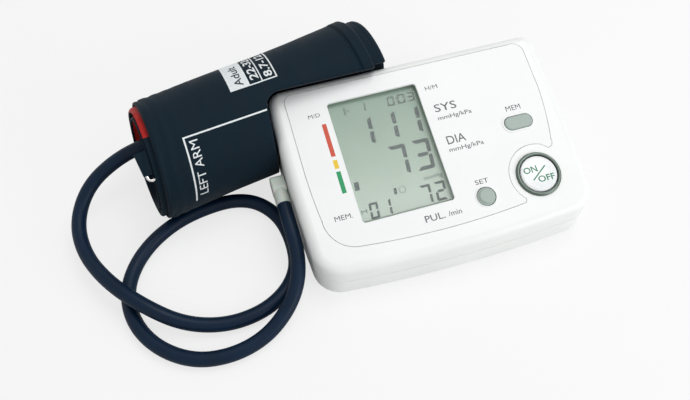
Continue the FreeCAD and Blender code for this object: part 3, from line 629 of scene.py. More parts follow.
def flap(turn):
    """The step where the cloth's free edge lies on the turn below it, at the rear."""
    past = (math.degrees(turn) - FLAP_EDGE) % 360.0
    return -FLAP_STEP * (1 - past / FLAP_SPAN) if past < FLAP_SPAN else 0.0


def press_limit(x, z, depth):
    """The nearest y that the desk unit's rear wall and rear left corner leave to the roll at this depth."""
    low, high = PRESS_Z
    reach = PRESS_R + depth
    off = min(0.0, x - PRESS_CORNER[0])
    around = math.sqrt(reach ** 2 - off ** 2) if off > -reach else CORNER_STEP * (off + reach)
    return PRESS_CORNER[1] + around + PRESS_SLOPE * max(0.0, low - z) - PRESS_LEAN * max(0.0, z - high)


def on_roll(s, turn, depth):
    """A point of the roll. turn is 0 at the top and grows to the rear."""
    reach = ROLL_R - depth + folds(s, turn) * (1 - depth / FOLD_DEPTH)
    reach += (flap(turn) + hem(s)) * max(0.0, 1 - depth / OUTER_DEPTH)
    if SLEEVE[0][0] <= depth <= SLEEVE[0][1]:
        reach += tuck(s)
    point = ROLL_START + ROLL_WAY * s + ROLL_REAR * (reach * math.sin(turn))
    point.z += reach * math.cos(turn)
    point.y = softer(point.y, press_limit(point.x, point.z, depth), PRESS_EASE)
    point.z = softer(point.z, depth + 0.1, FLOOR_EASE)
    return point


def on_cloth(a, b, h):
    """A point on the outer cloth: a along the cuff, b round it from its top. The cuff is rolled askew."""
    turn = (b - SKEW_ROUND * (a - SKEW_FROM)) / ROLL_R
    s = a + SKEW_ALONG * b - SKEW_BEND * min(b, 0.0) ** 2
    return on_roll(s, turn, WRAP[0][0] - 0.04 - h)


def row_places(start, stop, corner, rows):
    """Places of a cloth's rows: close together by the left rim, by the unit's corner and in the hem."""
    before, after, hem_from = corner - 2, corner + 4, stop - 9
    stretches = ((start, before, 0.28, 1.4), (before, after, 0.24, 1.0),
                 (after, hem_from, 0.18, 1.0), (hem_from, stop, 0.3, 1.0))
    places = []
    for low, high, share, bend in stretches:
        count = round(rows * share)
        places += [low + (high - low) * (i / count) ** bend for i in range(count)]
    return places + [stop]


def rolled(name, layer, columns, rows, span=(-180, 180), lean=True, rim=3):
    """A cloth of the roll as a closed mesh with round rims, and a map in metres along it and round it."""
    (outer, inner), left, right = layer
    half, middle = (inner - outer) / 2, (outer + inner) / 2
    whole = span[1] - span[0] >= 360
    loops = []
    for c in range(columns + (0 if whole else 1)):
        turn = math.radians(span[0] + (span[1] - span[0]) * c / columns)
        share = 1.0 if whole else math.sqrt(max(0.0, 1 - (1 - min(c, columns - c, rim) / rim) ** 2))
        thin = half * max(share, 0.02)
        start = (left_end(left, turn, middle) if lean else along(left)) + half
        stop = along(right) - half
        corner = line_place(PRESS_CORNER[0] - PRESS_R - middle, turn, middle)
        places = row_places(start, stop, corner, rows)
        loop = [(s, middle - thin) for s in places]
        for r in range(1, rim):
            bow = math.pi * r / rim
            loop.append((stop + half * math.sin(bow), middle - thin * math.cos(bow)))
        loop += [(s, middle + thin) for s in reversed(places)]
        for r in range(1, rim):
            bow = math.pi * r / rim
            loop.append((start - half * math.sin(bow), middle + thin * math.cos(bow)))
        loops.append((turn, loop))
    cloth = bmesh.new()
    grid = [[cloth.verts.new(on_roll(s, turn, depth) * MM) for s, depth in loop] for turn, loop in loops]
    chart = cloth.loops.layers.uv.new("cloth")
    count = len(grid[0])
    for c in range(columns):
        here, there = c, (c + 1) % len(grid)
        for r in range(count):
            q = (r + 1) % count
            corners = [(here, r, 0), (there, r, 1), (there, q, 1), (here, q, 0)]
            face = cloth.faces.new([grid[a][b] for a, b, _ in corners])
            face.smooth = True
            for corner, (a, b, on) in zip(face.loops, corners):
                turn = math.radians(span[0] + (span[1] - span[0]) * (c + on) / columns)
                corner[chart].uv = (loops[a][1][b][0] * MM, turn * ROLL_R * MM)
    if not whole:
        for c in (0, columns):
            cloth.faces.new(grid[c])
    bmesh.ops.recalc_face_normals(cloth, faces=cloth.faces)
    return mesh_of(cloth, name)


def strap(name, path, thick, turns):
    """A thin band across the roll that follows a path of (place along, depth), as a closed mesh."""
    band = bmesh.new()
    chart = band.loops.layers.uv.new("cloth")
    rings = []
    for turn in turns:
        ring = []
        for i, (s, depth) in enumerate(path):
            (s0, d0), (s1, d1) = path[max(0, i - 1)], path[min(len(path) - 1, i + 1)]
            across = Vector((d1 - d0, s0 - s1)).normalized() * thick / 2
            ring.append([band.verts.new(on_roll(s + side * across.x, turn, depth + side * across.y) * MM)
                         for side in (1, -1)])
        rings.append(ring)
    last = len(path) - 1
    quads = []
    for a in range(len(turns) - 1):
        for i in range(last):
            quads += [[rings[a][i][0], rings[a][i + 1][0], rings[a + 1][i + 1][0], rings[a + 1][i][0]],
                      [rings[a][i][1], rings[a + 1][i][1], rings[a + 1][i + 1][1], rings[a][i + 1][1]]]
        quads += [[rings[a][i][0], rings[a + 1][i][0], rings[a + 1][i][1], rings[a][i][1]] for i in (0, last)]
    for ring in (rings[0], rings[-1]):
        quads += [[ring[i][0], ring[i + 1][0], ring[i + 1][1], ring[i][1]] for i in range(last)]
    for quad in quads:
        face = band.faces.new(quad)
        for corner in face.loops:
            corner[chart].uv = (corner.vert.co.x, corner.vert.co.z)
    bmesh.ops.recalc_face_normals(band, faces=band.faces)
    return mesh_of(band, name)


# ---------------------------------------------------------------- repeated pieces by Geometry Nodes
def node_tree(name, *numbers):
    """An empty geometry tree with its named inputs, a way to add nodes to it, and one to close it."""
    tree = bpy.data.node_groups.new(name, "GeometryNodeTree")
    tree.interface.new_socket("Geometry", in_out="INPUT", socket_type="NodeSocketGeometry")
    for label in numbers:
        tree.interface.new_socket(label, in_out="INPUT", socket_type="NodeSocketFloat")
    tree.interface.new_socket("Finish", in_out="INPUT", socket_type="NodeSocketMaterial")
    tree.interface.new_socket("Geometry", in_out="OUTPUT", socket_type="NodeSocketGeometry")
    start, end = tree.nodes.new("NodeGroupInput"), tree.nodes.new("NodeGroupOutput")

    def add(kind, sockets=(), output=0, **settings):
        made = tree.nodes.new(kind)
        for key, setting in settings.items():
            setattr(made, key, setting)
        for key, value in dict(sockets).items():
            if isinstance(value, bpy.types.NodeSocket):
                tree.links.new(value, made.inputs[key])
            else:
                made.inputs[key].default_value = value
        return made.outputs[output]

    def close(placed):
        """Makes the placed copies real, with the tree's finish."""
        real = add("GeometryNodeRealizeInstances", {"Geometry": placed})
        dressed = add("GeometryNodeSetMaterial", {"Geometry": real, "Material": start.outputs["Finish"]})
        tree.links.new(dressed, end.inputs["Geometry"])
        return tree

    return start.outputs, add, close


def grown(name, points, edges, tree, values):
    """Runs a geometry tree on points and edges, and gives the plain mesh that comes out."""
    base = bpy.data.meshes.new(name)
    base.from_pydata([tuple(p) for p in points], edges, [])
    holder = bpy.data.objects.new(name + "_base", base)
    bpy.context.scene.collection.objects.link(holder)
    modifier = holder.modifiers.new("grow", "NODES")
    modifier.node_group = tree
    sockets = {item.name: item.identifier for item in tree.interface.items_tree
               if item.in_out == "INPUT"}
    for label, value in values.items():
        modifier[sockets[label]] = value
    bpy.context.view_layer.update()
    graph = bpy.context.evaluated_depsgraph_get()
    mesh = bpy.data.meshes.new_from_object(holder.evaluated_get(graph))
    bpy.data.objects.remove(holder)
    bpy.data.meshes.remove(base)
    return mesh


def stitch_tree():
    """Short thread stitches, evenly spaced along a seam."""
    given, add, close = node_tree("stitches", "Pitch", "Thread", "Fill")
    seam = add("GeometryNodeMeshToCurve", {"Mesh": given["Geometry"]})
    even = add("GeometryNodeResampleCurve", {"Curve": seam, "Length": given["Pitch"]}, mode="LENGTH")
    tangent = add("GeometryNodeInputTangent")
    turned = add("FunctionNodeAlignRotationToVector", {"Vector": tangent}, axis="X")
    bead = add("GeometryNodeMeshIcoSphere", {"Radius": 0.5, "Subdivisions": 2})
    long = add("ShaderNodeMath", {0: given["Pitch"], 1: given["Fill"]}, operation="MULTIPLY")
    size = add("ShaderNodeCombineXYZ", {"X": long, "Y": given["Thread"], "Z": given["Thread"]})
    placed = add("GeometryNodeInstanceOnPoints", {"Points": even, "Instance": bead, "Rotation": turned,
                                                  "Scale": size})
    return close(placed)


def spring_tree():
    """A cone-shaped wire spring at each point, drawn out along X; past the middle it is turned round."""
    given, add, close = node_tree("springs", "Wire", "Turns", "Wide", "Narrow", "Reach", "Middle")
    spiral = add("GeometryNodeCurveSpiral", {"Resolution": 24, "Rotations": given["Turns"],
                                             "Start Radius": given["Wide"], "End Radius": given["Narrow"],
                                             "Height": given["Reach"]})
    wire = add("GeometryNodeCurvePrimitiveCircle", {"Resolution": 8, "Radius": given["Wire"]})
    coil = add("GeometryNodeCurveToMesh", {"Curve": spiral, "Profile Curve": wire, "Fill Caps": True})
    flat = add("GeometryNodeTransform", {"Geometry": coil, "Rotation": (0.0, math.pi / 2, 0.0)})
    side = add("ShaderNodeSeparateXYZ", {"Vector": add("GeometryNodeInputPosition")}, "X")
    right = add("FunctionNodeCompare", {0: side, 1: given["Middle"]}, data_type="FLOAT",
                operation="GREATER_THAN")
    half = add("ShaderNodeMath", {0: right, 1: math.pi}, operation="MULTIPLY")
    turn = add("ShaderNodeCombineXYZ", {"Z": half})
    placed = add("GeometryNodeInstanceOnPoints", {"Points": given["Geometry"], "Instance": flat,
                                                  "Rotation": turn})
    return close(placed)


# ---------------------------------------------------------------- settings
def colour_of(label, about, default):
    return FloatVectorProperty(name=label, description=about, subtype="COLOR", size=3, min=0, max=1,
                               default=default)


def length_of(label, about, default, low, high):
    return FloatProperty(name=label, description=about, default=default, min=low, max=high,
                         subtype="DISTANCE", unit="LENGTH", precision=5)


def power_of(label, about, default):
    return FloatProperty(name=label, description=about, default=default, min=0, subtype="POWER", unit="POWER")


class StageSettings(bpy.types.PropertyGroup):
    """The stage's lights and floor"""

    key_power: power_of("Main lamp", "Power of the large soft lamp", 3.1)
    fill_power: power_of("Fill lamp", "Power of the lamp at the near right", 2.6)
    ambient: FloatProperty(name="Room light", description="Strength of the even light all round",
                           default=0.52, min=0, max=2, subtype="FACTOR")
    floor: colour_of("Floor", "Colour of the floor", (0.86, 0.86, 0.86))


class CaseSettings(bpy.types.PropertyGroup):
    """The shells, the face panel and its print"""

    shell: colour_of("Shells", "Colour of the two shells", tint(244, 247, 245))
    panel: colour_of("Panel", "Colour of the face panel", tint(246, 248, 248))
    print: colour_of("Lettering", "Colour of the face's lettering", tint(78, 84, 84))
    high: colour_of("High", "Colour of the scale's upper bar", tint(204, 74, 48))
    middle: colour_of("Middle", "Colour of the scale's middle bar", tint(238, 200, 40))
    normal: colour_of("Normal", "Colour of the scale's lower bar", tint(0, 148, 92))


class KeySettings(bpy.types.PropertyGroup):
    """The keys, the ring and the legend"""

    small: colour_of("Small keys", "Colour of the memory and set keys", tint(168, 182, 175))
    power: colour_of("Power key", "Colour of the power key", tint(246, 249, 250))
    ring: colour_of("Ring", "Colour of the power key's ring", tint(86, 97, 90))
    legend: colour_of("Legend", "Colour of the power key's legend", tint(0, 116, 80))


class DisplaySettings(bpy.types.PropertyGroup):
    """The display's digits"""

    digits: colour_of("Digits", "Colour of the lit segments", tint(42, 58, 60))
    slant: FloatProperty(name="Slant", description="How far the digits lean, for each unit of height",
                         default=0.08, min=0, max=0.3)


class HoseSettings(bpy.types.PropertyGroup):
    """The air hose and its plug"""

    diameter: length_of("Diameter", "Outer diameter of the air hose", 0.0072, 0.003, 0.02)
    colour: colour_of("Hose", "Colour of the hose", tint(6, 30, 52))
    plug: colour_of("Plug", "Colour of the plug and the port", tint(208, 216, 209))


class CuffSettings(bpy.types.PropertyGroup):
    """The cuff's cloths, stitches and print"""

    cloth: colour_of("Cloth", "Colour of the outer cloth", tint(11, 29, 40))
    lining: colour_of("Lining", "Colour of the lining", tint(176, 40, 38))
    print: colour_of("Print", "Colour of the white print", tint(230, 236, 238))
    weave: length_of("Weave", "Distance between two threads", 0.00045, 0.0002, 0.002)
    stitch: length_of("Stitch", "Length of one stitch and its gap", 0.0026, 0.001, 0.006)
    columns: IntProperty(name="Fineness", description="Faces round each cloth", default=180, min=60, max=300)


# ---------------------------------------------------------------- operators
class MonitorOperator:
    """What all operators here share"""

    bl_options = {"REGISTER", "UNDO"}


class MakeStage(MonitorOperator, bpy.types.Operator):
    """Floor, room light, lamps and camera"""

    bl_idname = "monitor.make_stage"
    bl_label = "Stage"

    # places and sizes in metres, in the frame's own axes; the sensor and the lens in millimetres
    CAMERA_AT = (-0.0979, -0.1773, 0.3181)
    CAMERA_WAY = (0.1466, 0.4887, -0.8600)
    SENSOR = 36.0
    LENS = 36.52
    CLIP = (0.01, 20.0)
    KEY_AT = (0.26, 0.16, 0.9)
    FILL_AT = (0.55, -0.62, 0.36)
    LAMP_SIZE = 0.6
    LAMP_AIM = (-0.03, 0.0, 0.02)
    FLOOR_REACH = 3.0
    FLOOR_GLOW = 0.72           # how much of the floor is plain white to the camera; its shadows are the rest

    def execute(self, context):
        settings = context.scene.monitor_stage
        self.camera(context)
        self.floor(context, settings)
        self.room(context, settings)
        self.lamp(context, "key_lamp", self.KEY_AT, settings.key_power)
        self.lamp(context, "fill_lamp", self.FILL_AT, settings.fill_power)
        context.scene.view_settings.view_transform = "Standard"
        return {"FINISHED"}

    def camera(self, context):
        data = bpy.data.cameras.new("camera")
        data.sensor_width = self.SENSOR
        data.lens = self.LENS
        data.clip_start, data.clip_end = self.CLIP
        camera = bpy.data.objects.new("camera", data)
        context.scene.collection.objects.link(camera)
        camera.location = self.CAMERA_AT
        camera.rotation_euler = Vector(self.CAMERA_WAY).to_track_quat("-Z", "Y").to_euler()
        context.scene.camera = camera

    def floor(self, context, settings):
        mesh = bpy.data.meshes.new("floor")
        reach = self.FLOOR_REACH
        corners = [(-reach, -reach, 0), (reach, -reach, 0), (reach, reach, 0), (-reach, reach, 0)]
        mesh.from_pydata(corners, [], [(0, 1, 2, 3)])
        floor = bpy.data.objects.new("floor", mesh)
        context.scene.collection.objects.link(floor)
        finish = Finish("floor", 0.9)
        finish.paint("Base Color", settings.floor)
        seen = finish.node("ShaderNodeLightPath", output="Is Camera Ray")
        white = finish.node("ShaderNodeEmission", {}, {"Color": (1, 1, 1), "Strength": 1.0})
        output = finish.tree.nodes["Material Output"].inputs["Surface"]
        body = Value(finish, finish.shader.outputs[0])
        mixed = finish.node("ShaderNodeMixShader", {}, {0: seen * self.FLOOR_GLOW, 1: body, 2: white})
        finish.feed(output, mixed)
        mesh.materials.append(finish.material)

    def room(self, context, settings):
        """White to the camera, in mirrors and through glass, and an even light to all else."""
        world = bpy.data.worlds.new("room")
        context.scene.world = world
        world.use_nodes = True
        room = Shading(world.node_tree)
        seen, mirrored, passed = [room.node("ShaderNodeLightPath", output=f"Is {ray} Ray")
                                  for ray in ("Camera", "Glossy", "Transmission")]
        backdrop = seen.larger(mirrored).larger(passed)
        background = room.tree.nodes["Background"]
        background.inputs["Color"].default_value = (1, 1, 1, 1)
        room.feed(background.inputs["Strength"], room.span(backdrop, 0.0, 1.0, settings.ambient, 1.0))

    def lamp(self, context, name, place, power):
        data = bpy.data.lights.new(name, "AREA")
        data.shape = "DISK"
        data.size = self.LAMP_SIZE
        data.energy = power
        lamp = bpy.data.objects.new(name, data)
        context.scene.collection.objects.link(lamp)
        lamp.location = place
        way = Vector(self.LAMP_AIM) - Vector(place)
        lamp.rotation_euler = way.to_track_quat("-Z", "Y").to_euler()


class MakeHose(MonitorOperator, bpy.types.Operator):
    """The air hose, its plug and the cuff's port"""

    bl_idname = "monitor.make_hose"
    bl_label = "Air hose"

    def execute(self, context):
        settings = context.scene.monitor_hose
        data = bpy.data.curves.new("hose", "CURVE")
        data.dimensions = "3D"
        data.resolution_u = 8
        data.bevel_depth = settings.diameter / 2
        data.bevel_resolution = 6
        data.use_fill_caps = True
        line = data.splines.new("NURBS")
        line.points.add(len(HOSE_ROUTE) - 1)
        for point, (x, y, z) in zip(line.points, HOSE_ROUTE):
            point.co = (x * MM, y * MM, z * MM, 1.0)
        line.order_u = 3
        line.use_endpoint_u = True
        hose = bpy.data.objects.new("hose", data)
        context.scene.collection.objects.link(hose)
        data.materials.append(soft_rubber("hose_rubber", settings.colour[:], 0.42, 0.16))
        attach(hose, "cuff_set")
        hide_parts("air_hose")
        dress("air_plug", milky("plug_milky", settings.plug[:]))
        dress("hose_port", milky("port_milky", settings.plug[:]))
        dress("plug_seal", soft_rubber("seal_rubber", tint(30, 32, 34)))
        return {"FINISHED"}


class DressCase(MonitorOperator, bpy.types.Operator):
    """Finishes of the shells, the face panel, the battery cover, the feet and the screws"""

    bl_idname = "monitor.dress_case"
    bl_label = "Case"

    def execute(self, context):
        settings = context.scene.monitor_case
        shell = moulded("shell_white", settings.shell[:], 0.34)
        for node in ("upper_housing", "lower_housing", "battery_cover"):
            dress(node, shell)
        dress("face_panel", moulded("panel_white", settings.panel[:], 0.5, 0.000012))
        dress("foot_pads", soft_rubber("foot_rubber", tint(34, 36, 38), 0.7))
        dress("housing_screws", metal("screw_zinc", tint(186, 190, 194), 0.3))
        return {"FINISHED"}


class DressKeys(MonitorOperator, bpy.types.Operator):
    """Finishes of the three keys and the power key's ring, and the power key's legend"""

    bl_idname = "monitor.dress_keys"
    bl_label = "Keys"

    # text, left edge, foot, width, height, weight
    LEGEND = (("ON", 39.7, -25.4, 6.9, 3.3, 0.012), ("OFF", 45.3, -31.1, 8.7, 3.2, 0.012))
    SLASH = ((42.9, -29.2), (51.1, -23.3))
    SLASH_LINE = 0.6
    PRINT = {"step": 1.2, "thick": 0.03, "body": "power_key", "slot": "key_white"}

    def execute(self, context):
        settings = context.scene.monitor_keys
        small = moulded("key_grey_green", settings.small[:], 0.55, 0.00003, 1900.0)
        dress("mem_button", small)
        dress("set_button", small)
        dress("power_button", key_sparkle(settings.power[:]))
        dress("power_ring", metal("ring_satin", settings.ring[:], 0.34, Coat_Weight=0.3))
        legend = [words(*text) for text in self.LEGEND]
        legend.append(stroke(self.SLASH, self.SLASH_LINE))
        printed("power_legend", legend, on_key, ink("legend_green", settings.legend[:]), **self.PRINT)
        return {"FINISHED"}


class PrintFace(MonitorOperator, bpy.types.Operator):
    """The lettering and the coloured scale on the face panel"""

    bl_idname = "monitor.print_face"
    bl_label = "Face print"

    # text, left edge, foot, width, height, weight
    LABELS = (
        ("M/D", -54.6, 30.2, 6.0, 2.1, 0.0), ("H/M", 6.9, 30.7, 6.5, 2.2, 0.0),
        ("MEM.", -56.4, -23.9, 8.9, 2.5, 0.0), ("SYS", 8.0, 17.9, 11.5, 4.2, 0.004),
        ("mmHg/kPa", 8.1, 12.7, 17.9, 2.9, 0.006), ("DIA", 8.6, -0.2, 9.7, 4.4, 0.004),
        ("mmHg/kPa", 8.1, -4.9, 18.2, 2.9, 0.006), ("PUL.", -14.7, -35.6, 10.0, 3.3, 0.004),
        ("/min", -2.9, -35.4, 6.7, 2.6, 0.006), ("MEM", 43.3, 9.2, 7.8, 2.8, 0.0),
        ("SET", 14.8, -23.9, 6.9, 2.4, 0.004),
    )
    BARS = (("high", 25.9, 8.2), ("middle", 6.3, 1.7), ("normal", 0.2, -11.2))
    BAR_SIDES = (-49.2, -47.0)
    PRINT = {"step": 30.0, "thick": 0.02, "body": "monitor", "slot": "panel_white"}

    def execute(self, context):
        settings = context.scene.monitor_case
        labels = [words(*label) for label in self.LABELS]
        printed("face_lettering", labels, on_face, ink("lettering_grey", settings.print[:]), **self.PRINT)
        left, right = self.BAR_SIDES
        for name, top, bottom in self.BARS:
            bar = plate([(left, bottom), (right, bottom), (right, top), (left, top)])
            colour = ink("scale_" + name, getattr(settings, name)[:])
            printed("scale_" + name, [bar], on_face, colour, **self.PRINT)
        return {"FINISHED"}


class MakeDisplay(MonitorOperator, bpy.types.Operator):
    """The display's glass, its clear window and its digits"""

    bl_idname = "monitor.make_display"
    bl_label = "Display"

    # each segment's shape, and whether it is the right-hand and the upper one of its kind
    SEGMENTS = {
        "a": ("end", False, True), "d": ("end", False, False), "g": ("middle", False, False),
        "b": ("side", True, True), "c": ("side", True, False), "e": ("side", False, False),
        "f": ("side", False, True),
    }
    DIGITS = {"0": "abcdef", "1": "bc", "2": "abged", "3": "abgcd", "7": "abc", "-": "g"}
    # text, left edge of the first digit, foot, digit width, height, pitch, stroke
    READINGS = (
        ("111", -32.6, 10.6, 7.6, 15.1, 12.5, 2.1), ("73", -21.9, -8.8, 9.1, 16.2, 12.5, 2.0),
        ("72", -12.4, -26.0, 5.6, 9.9, 7.5, 1.3), ("01", -38.8, -26.5, 4.5, 8.3, 6.5, 1.2),
        ("0", -13.2, 28.5, 3.6, 5.0, 4.0, 0.75), ("03", -7.8, 28.5, 3.9, 5.1, 5.0, 0.75),
        ("1", -38.7, 29.0, 3.2, 4.9, 4.0, 0.75), ("-", -35.4, 28.9, 2.6, 4.8, 4.0, 0.7),
        ("1", -28.0, 29.0, 3.2, 4.8, 4.0, 0.75),
    )
    # lone marks: left, right, foot, top, and the height that they lean from
    MARKS = (
        (-8.6, -8.0, 31.6, 32.2, 29.1), (-8.6, -8.0, 30.0, 30.6, 29.1),
        (-42.3, -39.9, -10.6, -6.2, -10.6), (-24.3, -22.8, -17.2, -14.0, -17.2),
    )
    # text, left edge, foot, width, height, weight
    UNITS = (("mmHg", -7.8, -14.7, 9.6, 3.0, 0.0), ("M", -42.5, -22.8, 2.8, 2.0, -0.004))
    PULSE_AT = (-19.9, -15.6)
    PULSE_R = 1.7
    PULSE_LINE = 0.35
    PRINT = {"step": 60.0, "thick": 0.01, "body": "monitor", "slot": "lcd_grey_green"}
    # shares of a digit's stroke: the gap at a bar's ends, its blunted points, the long cuts of its corners,
    # and the inner cut and the width that a side bar has left where it meets the digit's middle
    GAP = 0.22
    POINT = 0.12
    END_MITRE = 0.85
    SIDE_MITRE = 0.5
    MIDDLE_CUT = 0.4
    MIDDLE_TIP = 0.7
    MIDDLE_GAP = 1.4            # that end's gap, as a share of the others

    def execute(self, context):
        settings = context.scene.monitor_display
        dress("lcd_glass", display_grey())
        dress("lcd_lens", window_clear())
        self.slant = settings.slant
        shapes = []
        for text, left, foot, width, height, pitch, line in self.READINGS:
            for i, digit in enumerate(text):
                for segment in self.DIGITS[digit]:
                    shapes.append(self.segment(segment, left + i * pitch, foot, width, height, line))
        for left, right, foot, top, base in self.MARKS:
            corners = [(left, foot), (right, foot), (right, top), (left, top)]
            shapes.append(self.leaning(corners, base))
        shapes += [words(*unit) for unit in self.UNITS]
        lit = ink("segment_grey", settings.digits[:], 0.6)
        printed("display_digits", shapes, on_display, lit, **self.PRINT)
        x, v = self.PULSE_AT
        turns = [a / 6 * math.pi for a in range(13)]
        pulse = [(x + self.PULSE_R * math.cos(turn), v + self.PULSE_R * math.sin(turn)) for turn in turns]
        faint = ink("segment_faint", tint(118, 134, 128), 0.6)
        printed("display_pulse_mark", [stroke(pulse, self.PULSE_LINE)], on_display, faint, **self.PRINT)
        return {"FINISHED"}

    def leaning(self, corners, foot):
        """A plate that leans to the right from its foot."""
        return plate([(x + (v - foot) * self.slant, v) for x, v in corners])

    def segment(self, name, left, foot, width, height, line):
        """One bar of a digit, mitred to its neighbours, with a narrow gap at its ends."""
        shape, right, upper = self.SEGMENTS[name]
        half = height / 2
        gap, point = line * self.GAP, line * self.POINT
        end_mitre, side_mitre = line * self.END_MITRE, line * self.SIDE_MITRE
        cut, tip, top = line * self.MIDDLE_CUT, line * self.MIDDLE_TIP, half - gap * self.MIDDLE_GAP
        corners = {
            "end": [(point + gap, 0), (width - point - gap, 0), (width - gap, point),
                    (width - end_mitre - gap, line), (end_mitre + gap, line), (gap, point)],
            "side": [(0, point + gap), (point, gap), (line, side_mitre + gap), (line, half - cut - gap),
                     (tip, top), (0, top)],
            "middle": [(line / 2 + gap, half), (line + gap, half - line / 2),
                       (width - line - gap, half - line / 2), (width - line / 2 - gap, half),
                       (width - line - gap, half + line / 2), (line + gap, half + line / 2)],
        }[shape]
        return self.leaning([(left + (width - x if right else x), foot + (height - v if upper else v))
                             for x, v in corners], foot)


class MakeCuffCloth(MonitorOperator, bpy.types.Operator):
    """The cuff's cloths, its air bag and its hook and loop patches, with their seams"""

    bl_idname = "monitor.make_cuff_cloth"
    bl_label = "Cuff cloth"

    RED_SPAN = (-13, 60)         # where the lining folds out, in degrees round the roll
    RED_REACH = 24               # and how far along it
    BINDING_SPAN = (-13, 152)    # where the dark edge on the lining is narrow
    BINDING_NARROW = 1.4
    # outside that span the dark band is wider: painted shade inside the roll's opening
    BINDING_AND_SHADE_WIDE = 6.0
    # a cloth, how far in from its rim the seam runs, and which rim that is
    SEAMS = ((WRAP, 3.2, "left"), (WRAP, HEM + 0.9, "right"), (SLEEVE, 2.4, "right"))
    THREAD = 0.0004              # its thickness in metres
    STITCH_FILL = 0.72           # the share of a stitch's length that its thread takes

    def execute(self, context):
        settings = context.scene.monitor_cuff
        cloth = woven("cloth_navy", settings.cloth[:], settings.weave)
        lining = woven("lining_red", settings.lining[:], settings.weave, 0.5)
        pile = woven("pile_black", tint(26, 28, 32), settings.weave * 2, 0.9, 0.4)
        bag = soft_rubber("bag_grey", tint(120, 124, 128), 0.5)
        # piece, layer, rows, slot, the node it replaces, finishes, and what lays out the second finish
        cloths = (
            ("cuff_outer_cloth", WRAP, 130, "cloth_navy", "cuff_wrap", (cloth,), None),
            ("cuff_inner_cloth", SLEEVE, 70, "cloth_navy", "cuff_sleeve", (cloth, lining), self.red_turn),
            ("cuff_lining_cloth", LINING, 90, "lining_red", "cuff_lining", (lining, cloth), self.binding_and_shade),
        )
        for name, layer, rows, slot, node, materials, second in cloths:
            mesh = rolled(name, layer, columns=settings.columns, rows=rows)
            piece = new_piece(name, mesh, "cuff_set", slot, *materials)
            if second:
                second(piece)
            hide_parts(node)
            self.declare(piece, layer)
        soft = (
            ("cuff_air_bag", AIR_BAG, BAG_SPAN, bag, "bladder_grey", "cuff_bladder"),
            ("cuff_hook_patch", HOOKS, PATCH_SPAN, pile, "hook_black", "hook_patch"),
            ("cuff_loop_patch", LOOPS, PATCH_SPAN, pile, "hook_black", "loop_patch"),
        )
        for name, layer, span, material, slot, node in soft:
            mesh = rolled(name, layer, span=span, columns=40, rows=40, lean=False)
            piece = new_piece(name, mesh, "cuff_set", slot, material)
            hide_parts(node)
            if node == "cuff_bladder":
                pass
            else:
                self.declare(piece, layer, (span[1] - span[0]) / 360)
        self.seams(settings)
        return {"FINISHED"}

    def declare(self, piece, layer, share=1.0):
        """Reckons a cloth's girth and length when it is laid flat, from the roll's whole turn or a share of
        it, and keeps neither.
        """
        (outer, inner), left, right = layer
        girth = 2 * math.pi * (ROLL_R - (outer + inner) / 2) * share * MM
        (right - left) * MM

    def red_turn(self, sleeve):
        """The lining folds out over the inner cloth's left rim, round its top."""
        low, high = self.RED_SPAN
        for face, s, turn in self.chart(sleeve):
            if s < self.RED_REACH and low < math.degrees(turn) < high:
                face.material_index = 1

    def binding_and_shade(self, inside):
        """The dark cloth folds in over the lining's left rim: a narrow edge at the far side; the wider dark
        band below is painted shade inside the opening.
        """
        low, high = self.BINDING_SPAN
        for face, s, turn in self.chart(inside):
            # the narrow edge is the folded cloth; the wide band below is painted shade
            width = self.BINDING_NARROW if low < math.degrees(turn) < high else self.BINDING_AND_SHADE_WIDE
            if s < left_end(LINING[1], turn, LINING[0][0]) + width:
                face.material_index = 1

    def chart(self, cloth):
        """Each face of a cloth, with its place along the roll and its turn."""
        chart = cloth.data.uv_layers[0].data
        for face in cloth.data.polygons:
            along_it, round_it = (sum(chart[i].uv[axis] for i in face.loop_indices) / face.loop_total / MM
                                  for axis in (0, 1))
            yield face, along_it, round_it / ROLL_R

    def seams(self, settings):
        """Stitched lines beside the rims."""
        thread = soft_rubber("thread_navy", shade(settings.cloth[:], 1.4), 0.7, 0.1)
        points, edges = [], []
        count = 180
        for (depths, left, right), inset, end in self.SEAMS:
            first = len(points)
            for i in range(count):
                turn = math.radians(360 * i / count - 180)
                s = left_end(left, turn, depths[0]) + inset if end == "left" else along(right) - inset
                points.append(on_roll(s, turn, depths[0] - 0.02) * MM)
            edges += [(first + i, first + (i + 1) % count) for i in range(count)]
        sizes = {"Pitch": settings.stitch, "Thread": self.THREAD, "Fill": self.STITCH_FILL, "Finish": thread}
        mesh = grown("cuff_stitches", points, edges, stitch_tree(), sizes)
        new_piece("cuff_stitches", mesh, "cuff_set", "cloth_navy")


